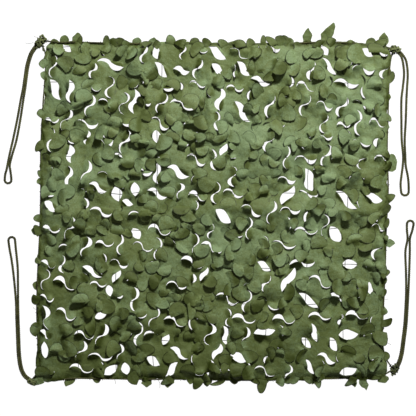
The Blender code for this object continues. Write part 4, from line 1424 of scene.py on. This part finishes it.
def flap_sheet(flaps, points, tone):
    """The flaps' flat places, triangles, points, tones and distances, laid on the cloth's points."""
    columns = len(FLAP_COLUMNS)
    rows = len(FLAP_ROWS)
    first = np.array([row * columns + column for row in range(rows - 1) for column in range(columns - 1)])
    faces = np.vstack([np.column_stack([first, first + columns, first + columns + 1]),
                       np.column_stack([first, first + columns + 1, first + 1])])
    start, run = OWN_TONE
    parts = []
    for number, flap in enumerate(flaps):
        flat, lying, share, gap = flap.laid(points)
        nearby = tone[np.linalg.norm(points[:, :2] - flap.root, axis=1) < ROOT_REACH]
        rooted = nearby.mean() if len(nearby) else flap.tone
        toned = rooted + (flap.tone + painted_light_and_shade(*flat.T) - rooted) * ramp((share - start) / run)
        # Painted shadow: a dark outline just inside the rim of a leaf's free part, given as a distance for
        # the shadow gap.
        outline_shadow_gap = np.where(share > SHARP_FROM, gap + OUTLINE_GAP, FAR)
        parts.append((flat, faces + number * len(flat), lying, toned, outline_shadow_gap, gap + FAR))
    return [np.concatenate(part) for part in zip(*parts)]


# ---------------- pieces

LENGTH = "NodeSocketFloat"
NUMBER = "NodeSocketInt"
MATERIAL = "NodeSocketMaterial"

TURN_STEPS = 12  # of a cord, in one turn of its strands
STRAND_SIDES = 8
PRESSED = 1.17  # strands lie pressed together, this much thicker than round ones
STRING_STEP = 9 * MM
STRING_SIDES = 6
STRING_SWERVE = 14.0  # waves to the metre
CROSSING_KNOT = (1.0, 1.0, 0.55)  # its half sizes, in string diameters
STITCH_STEPS = 14
STITCHES_LOST = 0.45  # the share of them
STITCH_SLANT = 0.6

TIP_STEPS = 12  # of the half circle at a tie loop's end
INTO_KNOT = 7 * MM  # how far ropes and ties go on inside a knot


def new_object(name, mesh, *materials):
    piece = bpy.data.objects.new(name, mesh)
    for material in materials:
        mesh.materials.append(finish(material))
    bpy.context.scene.collection.objects.link(piece)
    return piece


def hold(piece, slot, *nodes):
    """The piece goes with the net and stands for these solids, which are hidden; its slot is not used."""
    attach(piece, BODY)
    if nodes:
        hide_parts(*nodes)


def evaluated_mesh(piece):
    """A plain mesh of what a piece's modifiers make of it."""
    return bpy.data.meshes.new_from_object(piece.evaluated_get(bpy.context.evaluated_depsgraph_get()))


def polyline_mesh(name, lines, knotted):
    """A mesh of edges along lines. Knotted lines share the points where they cross."""
    points = {}
    edges = []
    for number, line in enumerate(lines):
        keys = [tuple(point) if knotted else (number, step) for step, point in enumerate(line)]
        ends = [points.setdefault(key, (len(points), tuple(point)))[0] for key, point in zip(keys, line)]
        edges += zip(ends, ends[1:])
    mesh = bpy.data.meshes.new(name + "_lines")
    mesh.from_pydata([point for _, point in points.values()], edges, [])
    return mesh


def geometry_tree(name, **inputs):
    """A new geometry tree with its own inputs: its graph, and the first wire of its inputs."""
    tree = bpy.data.node_groups.new(name, "GeometryNodeTree")
    tree.interface.new_socket("Geometry", in_out="INPUT", socket_type="NodeSocketGeometry")
    for label, kind in inputs.items():
        tree.interface.new_socket(label, in_out="INPUT", socket_type=kind)
    tree.interface.new_socket("Geometry", in_out="OUTPUT", socket_type="NodeSocketGeometry")
    graph = Graph(tree)
    return graph, graph.add("NodeGroupInput")


def ended(graph, geometry, material):
    """Ends a tree: real geometry with its finish, shaded smooth."""
    real = graph.add("GeometryNodeRealizeInstances", (), {"Geometry": geometry})
    smooth = graph.add("GeometryNodeSetShadeSmooth", (), {"Geometry": real, "Shade Smooth": True})
    done = graph.add("GeometryNodeSetMaterial", (), {"Geometry": smooth, "Material": material})
    graph.add("NodeGroupOutput", (), {0: done})
    return graph.tree


def laid_cord_tree(name):
    """Turns lines into cords of twisted strands."""
    graph, ports = geometry_tree(name, Diameter=LENGTH, Lay=LENGTH, Strands=NUMBER, Finish=MATERIAL)
    line = graph.even_lines(ports["Geometry"], ports["Lay"] / TURN_STEPS)
    copies = graph.add("GeometryNodeDuplicateElements", {"domain": "SPLINE"},
                       {"Geometry": line, "Amount": ports["Strands"]})
    travelled = graph.add("GeometryNodeSplineParameter")["Length"]
    strand = copies["Duplicate Index"] / ports["Strands"]
    turn = (travelled / ports["Lay"] + strand) * (2 * math.pi)
    half_sector = graph.sine(math.pi / ports["Strands"])
    strand_radius = ports["Diameter"] * 0.5 * half_sector / (half_sector + 1) * PRESSED
    reach = ports["Diameter"] * 0.5 - strand_radius
    normal = graph.add("GeometryNodeInputNormal")
    other = graph.vector("CROSS_PRODUCT", graph.add("GeometryNodeInputTangent"), normal)
    offset = graph.vector("ADD", graph.scaled(normal, graph.maths("COSINE", turn) * reach),
                          graph.scaled(other, graph.sine(turn) * reach))
    twisted = graph.stored(copies["Geometry"], "along", travelled)
    twisted = graph.moved(graph.stored(twisted, "strand", strand), offset)
    return ended(graph, graph.tube(twisted, graph.circle(STRAND_SIDES, strand_radius)), ports["Finish"])


def string_tree(name):
    """Turns the net's lines into plain strings with a small knot at each crossing."""
    graph, ports = geometry_tree(name, Diameter=LENGTH, Wander=LENGTH, Finish=MATERIAL)
    line = graph.even_lines(ports["Geometry"], STRING_STEP)
    place = graph.add("GeometryNodeInputPosition")
    swerve = graph.vector("SUBTRACT", graph.noise(place, STRING_SWERVE, 1.0)["Color"], (0.5, 0.5, 0.5))
    swerve = graph.vector("MULTIPLY", swerve, (1.0, 1.0, 0.0))
    line = graph.moved(line, graph.scaled(swerve, ports["Wander"]))
    strings = graph.tube(line, graph.circle(STRING_SIDES, ports["Diameter"] * 0.5))
    ball = graph.add("GeometryNodeMeshIcoSphere", (), {"Radius": ports["Diameter"], "Subdivisions": 2})
    crossings = graph.add("GeometryNodeMeshToPoints", (), {"Mesh": ports["Geometry"]})
    knots = graph.add("GeometryNodeInstanceOnPoints", (),
                      {"Points": crossings, "Instance": ball, "Scale": CROSSING_KNOT})
    both = graph.add("GeometryNodeJoinGeometry", (), {0: strings})
    graph.tree.links.new(knots.socket, both.socket.node.inputs[0])
    return ended(graph, both, ports["Finish"])


def binding_tree(name):
    """Puts slanting loops of thread round a rope and its hem, at even steps but for those that are lost."""
    graph, ports = geometry_tree(name, Step=LENGTH, Thread=LENGTH, Width=LENGTH, Height=LENGTH, Seed=NUMBER,
                                 Finish=MATERIAL)
    points = graph.add("GeometryNodeCurveToPoints", {"mode": "LENGTH"},
                       {"Curve": graph.lines(ports["Geometry"]), "Length": ports["Step"]})
    lost = graph.add("FunctionNodeRandomValue", {"data_type": "BOOLEAN"},
                     {"Probability": STITCHES_LOST, "Seed": ports["Seed"]})[3]
    slant = graph.add("FunctionNodeRandomValue", {"data_type": "FLOAT"},
                      {2: -STITCH_SLANT, 3: STITCH_SLANT, "Seed": ports["Seed"]})[1]
    shape = graph.add("ShaderNodeCombineXYZ", (), {"X": ports["Width"], "Y": ports["Height"], "Z": 1.0})
    ring = graph.circle(STITCH_STEPS, 0.5)
    ring = graph.add("GeometryNodeTransform", (), {"Geometry": ring, "Scale": shape})
    loop = graph.tube(ring, graph.circle(STRING_SIDES, ports["Thread"] * 0.5), capped=False)
    loops = graph.add("GeometryNodeInstanceOnPoints", (),
                      {"Points": points, "Instance": loop, "Rotation": points["Rotation"],
                       "Selection": 1.0 - lost})
    turn = graph.add("ShaderNodeCombineXYZ", (), {"Y": slant})
    loops = graph.add("GeometryNodeRotateInstances", (), {"Instances": loops, "Rotation": turn})
    return ended(graph, loops, ports["Finish"])


TREES = {"laid cord": laid_cord_tree, "string net": string_tree, "binding": binding_tree}


def grown(name, lines, tree_name, knotted=False, **values):
    """The piece that a tree makes of lines with these inputs, as a plain mesh."""
    tree = bpy.data.node_groups.get(tree_name) or TREES[tree_name](tree_name)
    source = new_object(name + "_lines", polyline_mesh(name, lines, knotted))
    modifier = source.modifiers.new("grow", "NODES")
    modifier.node_group = tree
    for item in tree.interface.items_tree:
        if item.in_out == "INPUT" and item.name in values:
            modifier[item.identifier] = values[item.name]
    made = evaluated_mesh(source)
    bpy.data.meshes.remove(source.data)
    if not made.polygons:
        raise RuntimeError(name + " came out empty")
    made.name = name
    return new_object(name, made)


def laid_cord(name, lines, diameter, lay, strands=3, material="cord fibre"):
    """A twisted cord along each line."""
    return grown(name, lines, "laid cord", Diameter=diameter, Lay=lay, Strands=strands,
                 Finish=finish(material))


def at_height(points, height):
    return [Vector((point[0], point[1], height)) for point in points]


def rope_path(side, height):
    """The edge rope's route on one side, at a height."""
    return smooth_run(at_height([metres(row) for row in ROPE_ROUTES[side]], height), ROPE_STEP)


def tie_points(rows):
    """The route of a doubled cord, out along one strand, round its loop and back along the other."""
    middle = [Vector((x, y, 0.0)) * MM for x, y, _ in rows]
    out = []
    back = []
    for index, (place, row) in enumerate(zip(middle, rows)):
        run = middle[min(index + 1, len(rows) - 1)] - middle[max(index - 1, 0)]
        side = Vector((-run.y, run.x, 0.0)).normalized() * (row[2] * MM)
        out.append(place + side)
        back.append(place - side)
    along = (middle[-1] - middle[-2]).normalized()
    across = out[-1] - middle[-1]
    turns = [math.pi * step / TIP_STEPS for step in range(1, TIP_STEPS)]
    tip = [middle[-1] + along * (across.length * math.sin(turn)) + across * math.cos(turn) for turn in turns]
    return out + tip + back[::-1]


def run_on(line):
    """The line, carried straight on at both ends into the knots."""
    return [line[0] + (line[0] - line[1]).normalized() * INTO_KNOT, *line,
            line[-1] + (line[-1] - line[-2]).normalized() * INTO_KNOT]


def string_nodes():
    """Where the strings of the net cross, row by row from the bottom left."""
    rng = random.Random(STRING_SEED)
    ends = (0, STRING_CELLS)
    nodes = []
    for row in range(STRING_CELLS + 1):
        line = []
        for column in range(STRING_CELLS + 1):
            place = net_point(column / STRING_CELLS, row / STRING_CELLS, STRING_INSET)
            if row not in ends and column not in ends:
                place += drawn_pair(rng) * STRING_WANDER
            if row in ends and column in ends:
                place -= Vector((math.copysign(1, place.x), math.copysign(1, place.y))) * STRING_CORNER
            line.append(place)
        nodes.append(line)
    return nodes


# ---------------- operators

CAMERA_PLACE = (-0.018, -0.003)  # over the net
CAMERA_REACH = 50
KEY_LIGHT = ((0.8, 2.6, 2.3), 0.5)  # place and size
FILL_LIGHT = ((0.1, -0.2, 4.2), 3.4)
FILL_COLOUR = (1, 1, 0.86)
FLOOR_HALF = 40

FLUFF = 1.28  # a loose cord's fibres stand out this far past its diameter
TIE_STEP = 4 * MM
ROPE_STEP = 6 * MM
ROPE_RISE = 2.6 * MM  # how far the rope is raised where it lies over the cloth

KNOT_LAY = 3.2  # of its cord, in cord diameters
KNOT_OVERRUN = 3 * MM  # how far a knot's turns run up on the cords that it holds
KNOT_HALF_HEIGHT = 6 * MM
KNOT_ENDS = 0.86  # the less, the wider a knot is at its ends
KNOT_SLANT = 0.45  # how far its turns lean, to the width of the knot
TURN_PITCH = 1.55  # from one turn of a knot to the next, in cord diameters
STEPS_A_TURN = 16
HELD_PLACES = (-0.62, -0.2, 0.22, 0.6)  # of its half width
HELD_HEIGHT = 5 * MM
COLLAR_SLANTS = (0.5, -0.35)
COLLAR_STEPS = 24
COLLAR_ARC = (-0.08, 1.16)  # where it starts and how far it goes, in half turns
COLLAR_HEIGHT = 16 * MM
COLLAR_BASE = 2 * MM
COLLAR_CURVE = 0.8
COLLAR_TUCK = 0.3  # of the cord, short of the knot's half length
COLLAR_BEND = 5 * MM
END_STEPS = 10

STRINGS_OVER_FLOOR = 0.05 * MM
STRING_SWAY = 5 * MM
BINDING_HEIGHT = 3.9 * MM
STITCH_WIDTH = 10.5 * MM
STITCH_HEIGHT = 7 * MM
THREAD_LAY = 4  # in thread diameters
THREAD_STEPS = 8
THREAD_HEIGHTS = (3, 1)  # of a loose thread's two ends, in millimetres

OUTLINE_STEP = 5 * MM
SHARP_ANGLE = math.radians(60)


class NettingOperator(bpy.types.Operator):
    """What the netting's operators share."""

    bl_options = {"REGISTER", "UNDO"}


class NETTING_OT_stage(NettingOperator):
    """Adds the camera, the lights, the even sky and the pale floor."""

    bl_idname = "netting.stage"
    bl_label = "Camera, light and floor"

    def execute(self, context):
        stage = context.scene.netting.stage
        self.camera(context.scene, stage)
        self.lamp("key light", *KEY_LIGHT, stage.key_power)
        self.lamp("fill light", *FILL_LIGHT, stage.fill_power, FILL_COLOUR)
        world = bpy.data.worlds.new("pale sky")
        world.use_nodes = True
        background = world.node_tree.nodes["Background"]
        background.inputs["Color"].default_value = (1, 1, 1, 1)
        background.inputs["Strength"].default_value = stage.sky
        context.scene.world = world
        context.scene.view_settings.view_transform = "Standard"
        floor = bpy.data.meshes.new("pale_floor")
        corners = ((-1, -1), (1, -1), (1, 1), (-1, 1))
        floor.from_pydata([(x * FLOOR_HALF, y * FLOOR_HALF, 0) for x, y in corners], [], [(0, 1, 2, 3)])
        new_object("pale_floor", floor, "pale floor")
        return {"FINISHED"}

    def camera(self, scene, stage):
        """A camera that looks straight down."""
        camera = bpy.data.objects.new("camera", bpy.data.cameras.new("camera"))
        camera.location = (*CAMERA_PLACE, stage.camera_height)
        camera.data.lens = camera.data.sensor_width * stage.camera_height / stage.view_width
        camera.data.clip_end = CAMERA_REACH
        scene.collection.objects.link(camera)
        scene.camera = camera

    def lamp(self, name, place, size, power, colour=(1, 1, 1)):
        """A square soft light that faces the middle of the net."""
        lamp = bpy.data.objects.new(name, bpy.data.lights.new(name, "AREA"))
        lamp.data.size = size
        lamp.data.energy = power
        lamp.data.color = colour
        lamp.location = place
        lamp.rotation_euler = (-Vector(place)).to_track_quat("-Z", "Y").to_euler()
        bpy.context.scene.collection.objects.link(lamp)


class NETTING_OT_ties(NettingOperator):
    """Lays a doubled tie cord at each corner."""

    bl_idname = "netting.ties"
    bl_label = "Tie cords"

    def execute(self, context):
        cords = context.scene.netting.cords
        for corner, rows in TIE_ROUTES.items():
            path = run_on(at_height(smooth_run(tie_points(rows), TIE_STEP), cords.tie * FLUFF / 2))
            piece = laid_cord("tie_cord_" + corner, [path], cords.tie * FLUFF, cords.tie_lay)
            hold(piece, "cord", "tie_" + corner)
        return {"FINISHED"}


class NETTING_OT_ropes(NettingOperator):
    """Lays the edge rope along each side."""

    bl_idname = "netting.ropes"
    bl_label = "Edge ropes"

    def execute(self, context):
        cords = context.scene.netting.cords
        for side in OUTWARD:
            path = rope_path(side, cords.rope / 2 + TOUCH)
            for point in path:
                along, _ = by_side(side, point.x, point.y)
                point.z += ROPE_RISE * stretch_share(ROPE_OVER, side, along)
            piece = laid_cord("laid_rope_" + side, [run_on(path)], cords.rope, cords.rope_lay)
            hold(piece, "cord", "edge_rope_" + side)
        return {"FINISHED"}


class NETTING_OT_knots(NettingOperator):
    """Winds the knot at each corner, with its short cord end."""

    bl_idname = "netting.knots"
    bl_label = "Corner knots"

    def execute(self, context):
        cord = context.scene.netting.cords.tie
        for corner, row in KNOTS.items():
            end = self.cord_end(CORD_ENDS[corner], cord)
            lines = [self.winding(row, cord), *self.collars(row, cord), end]
            knot = laid_cord("wound_knot_" + corner, lines, cord, KNOT_LAY * cord, material="knot fibre")
            hold(knot, "cord", "knot_" + corner)
            # The cord ends inside each knot take the dark thread finish: painted shade for the shade between
            # its turns.
            ends = self.held_ends(row, cord)
            inside = laid_cord("knot_inside_" + corner, ends, cord, KNOT_LAY * cord, material="dark thread")
            hold(inside, "cord")
        return {"FINISHED"}

    def axes(self, row):
        """A knot's middle, half length and half width, and the ways that they run."""
        x, y, half_length, half_width = metres(row[:4])
        angle = math.radians(row[4])
        along = Vector((math.cos(angle), math.sin(angle), 0.0))
        return Vector((x, y, 0.0)), half_length, half_width, along, Vector((-along.y, along.x, 0.0))

    def winding(self, row, cord):
        """Side by side turns, wider in the middle."""
        middle, half_length, half_width, along, across = self.axes(row)
        length = half_length + KNOT_OVERRUN - cord / 2
        width = half_width - cord / 2
        turns = 2 * length / (TURN_PITCH * cord)
        steps = round(turns * STEPS_A_TURN)
        line = []
        for step in range(steps + 1):
            share = 2 * step / steps - 1
            girth = math.sqrt(1 - (KNOT_ENDS * share) ** 2)
            turn = math.pi * turns * share
            height = KNOT_HALF_HEIGHT * girth * math.sin(turn) + KNOT_HALF_HEIGHT + cord / 2 + TOUCH
            side = width * girth * math.cos(turn)
            line.append(middle + along * (share * length + KNOT_SLANT * side) + across * side
                        + Vector((0, 0, height)))
        return line

    def held_ends(self, row, cord):
        """The cord ends that the turns go round, side by side."""
        middle, half_length, half_width, along, across = self.axes(row)
        lines = []
        for place in HELD_PLACES:
            side = middle + across * (place * half_width) + Vector((0, 0, HELD_HEIGHT))
            reach = along * ((half_length - cord) * math.sqrt(1 - place * place))
            lines.append([side - reach, side, side + reach])
        return lines

    def collars(self, row, cord):
        """Two turns that cross over the others on the slant."""
        middle, half_length, half_width, along, across = self.axes(row)
        start, arc = COLLAR_ARC
        lines = []
        for slant in COLLAR_SLANTS:
            way = (along * math.cos(slant) + across * math.sin(slant)).normalized()
            line = []
            for step in range(COLLAR_STEPS + 1):
                turn = math.pi * (step / COLLAR_STEPS * arc + start)
                over = 0
                if 0 < turn < math.pi:
                    over = COLLAR_HEIGHT * math.sin(turn) ** COLLAR_CURVE + COLLAR_BASE
                lift = Vector((0, 0, max(cord / 2 + TOUCH, over)))
                line.append(middle + way * (math.cos(turn) * (half_length - COLLAR_TUCK * cord)) + lift
                            + across * (slant * COLLAR_BEND * math.sin(2 * turn)))
            lines.append(line)
        return lines

    def cord_end(self, end, cord):
        """A short bent end that lies on the floor."""
        x, y, way, length, bend = end
        line = [Vector((x * MM, y * MM, cord / 2 + TOUCH))]
        for step in range(END_STEPS):
            angle = math.radians(way + bend * step / END_STEPS)
            stride = Vector((math.cos(angle), math.sin(angle), 0)) * (length * MM / END_STEPS)
            line.append(line[-1] + stride)
        return line


class NETTING_OT_strings(NettingOperator):
    """Knots the wide string net that the cloth is tied to."""

    bl_idname = "netting.strings"
    bl_label = "String net"

    def execute(self, context):
        cords = context.scene.netting.cords
        nodes = string_nodes()
        lines = [at_height(row, cords.string / 2 + STRINGS_OVER_FLOOR) for row in (*nodes, *zip(*nodes))]
        piece = grown("knotted_strings", lines, "string net", knotted=True, Diameter=cords.string,
                      Wander=STRING_SWAY, Finish=finish("dark thread"))
        hold(piece, "string", "string_net")
        return {"FINISHED"}


class NETTING_OT_binding(NettingOperator):
    """Binds the hem to the rope with stitches of thread, and leaves loose thread ends."""

    bl_idname = "netting.binding"
    bl_label = "Binding and loose threads"

    def execute(self, context):
        cords = context.scene.netting.cords
        for number, side in enumerate(OUTWARD):
            piece = grown("hem_binding_" + side, [rope_path(side, BINDING_HEIGHT)], "binding",
                          Step=cords.binding_step, Thread=cords.thread, Width=STITCH_WIDTH,
                          Height=STITCH_HEIGHT, Seed=number, Finish=finish("dark thread"))
            hold(piece, "string")
        lines = [self.loose_thread(row) for row in LOOSE_THREADS]
        piece = laid_cord("loose_threads", lines, cords.thread, THREAD_LAY * cords.thread, 2, "dark thread")
        hold(piece, "string")
        return {"FINISHED"}

    def loose_thread(self, row):
        """A bent thread end that comes down to the floor."""
        x0, y0, x1, y1, bend = row
        start = Vector((x0, y0, THREAD_HEIGHTS[0])) * MM
        run = Vector((x1, y1, THREAD_HEIGHTS[1])) * MM - start
        aside = Vector((-run.y, run.x, 0)).normalized() * (bend * MM)
        shares = [step / THREAD_STEPS for step in range(THREAD_STEPS + 1)]
        return [start + run * share + aside * math.sin(math.pi * share) for share in shares]


class NETTING_OT_cloth(NettingOperator):
    """Cuts the cloth, opens its gaps, lifts its leaves and lays it over the strings and the rope."""

    bl_idname = "netting.cloth"
    bl_label = "Leaf-cut cloth"

    def execute(self, context):
        cloth = context.scene.netting.cloth
        corners = cloth_outline()
        cuts = all_cuts(np.array(corners), cloth.overlap)
        outline = np.array(smooth_run(corners, OUTLINE_STEP, closed=True))
        places, triangles, owner, side = flat_sheet(outline, cuts, cloth.grain)
        tufts = [place for line in string_nodes()[1:-1] for place in line[1:-1]]
        sheet = settled(places, owner, side, cuts, tufts, cloth)
        piece = self.thick("cut_cloth", cloth.thickness, places, triangles, *sheet)
        hold(piece, "leaf_cloth", "leaf_cloth")
        points, tone = sheet[:2]
        leaves = self.thick("folded_leaves", cloth.thickness, *flap_sheet(all_flaps(cuts), points, tone))
        hold(leaves, "leaf_cloth")
        return {"FINISHED"}

    def thick(self, name, thickness, places, triangles, points, tone, shadow, rim):
        """Cloth with two faces and a rim, whose texture follows its flat places."""
        mesh = bpy.data.meshes.new(name + "_flat")
        mesh.from_pydata(points.tolist(), [], triangles.tolist())
        flat = mesh.uv_layers.new(name="flat")
        corner_places = places[np.array([loop.vertex_index for loop in mesh.loops])]
        flat.data.foreach_set("uv", corner_places.ravel())
        for label, values in (("leaf_tone", tone), ("shadow_gap", shadow), ("rim_gap", rim)):
            mesh.attributes.new(label, "FLOAT", "POINT").data.foreach_set("value", values)
        piece = new_object(name, mesh, "leaf face", "leaf underside")
        shell = piece.modifiers.new("thickness", "SOLIDIFY")
        shell.thickness = thickness
        shell.offset = 1.0
        shell.material_offset = 1
        solid = evaluated_mesh(piece)
        piece.modifiers.remove(shell)
        piece.data = solid
        bpy.data.meshes.remove(mesh)
        solid.name = name
        solid.shade_smooth()
        solid.set_sharp_from_angle(angle=SHARP_ANGLE)
        return piece


class NETTING_PT_panel(bpy.types.Panel):
    """Lists the netting's operators and sizes."""

    bl_label = "Leaf-cut netting"
    bl_space_type = "VIEW_3D"
    bl_region_type = "UI"
    bl_category = "Netting"

    def draw(self, context):
        netting = context.scene.netting
        for operator in OPERATORS:
            self.layout.operator(operator.bl_idname)
        for group in (netting.cloth, netting.cords, netting.finish, netting.stage):
            box = self.layout.box()
            for name in group.__annotations__:
                box.prop(group, name)


class Netting(bpy.types.PropertyGroup):
    """All of the netting's settings."""

    cloth: bpy.props.PointerProperty(type=NettingCloth, name="Cloth", description="Sizes of the cloth")
    cords: bpy.props.PointerProperty(type=NettingCords, name="Cords", description="Sizes of the cords")
    finish: bpy.props.PointerProperty(type=NettingFinish, name="Finish", description="Colours")
    stage: bpy.props.PointerProperty(type=NettingStage, name="Stage", description="Camera and light")


OPERATORS = (NETTING_OT_stage, NETTING_OT_ties, NETTING_OT_ropes, NETTING_OT_knots, NETTING_OT_strings,
             NETTING_OT_binding, NETTING_OT_cloth)
CLASSES = (NettingCloth, NettingCords, NettingFinish, NettingStage, Netting, *OPERATORS, NETTING_PT_panel)


def register():
    for kind in CLASSES:
        bpy.utils.register_class(kind)
    bpy.types.Scene.netting = bpy.props.PointerProperty(type=Netting)


def unregister():
    del bpy.types.Scene.netting
    for kind in reversed(CLASSES):
        bpy.utils.unregister_class(kind)


def main():
    register()
    for operator in OPERATORS:
        group, name = operator.bl_idname.split(".")
        getattr(getattr(bpy.ops, group), name)()


if __name__ == "__main__":
    main()
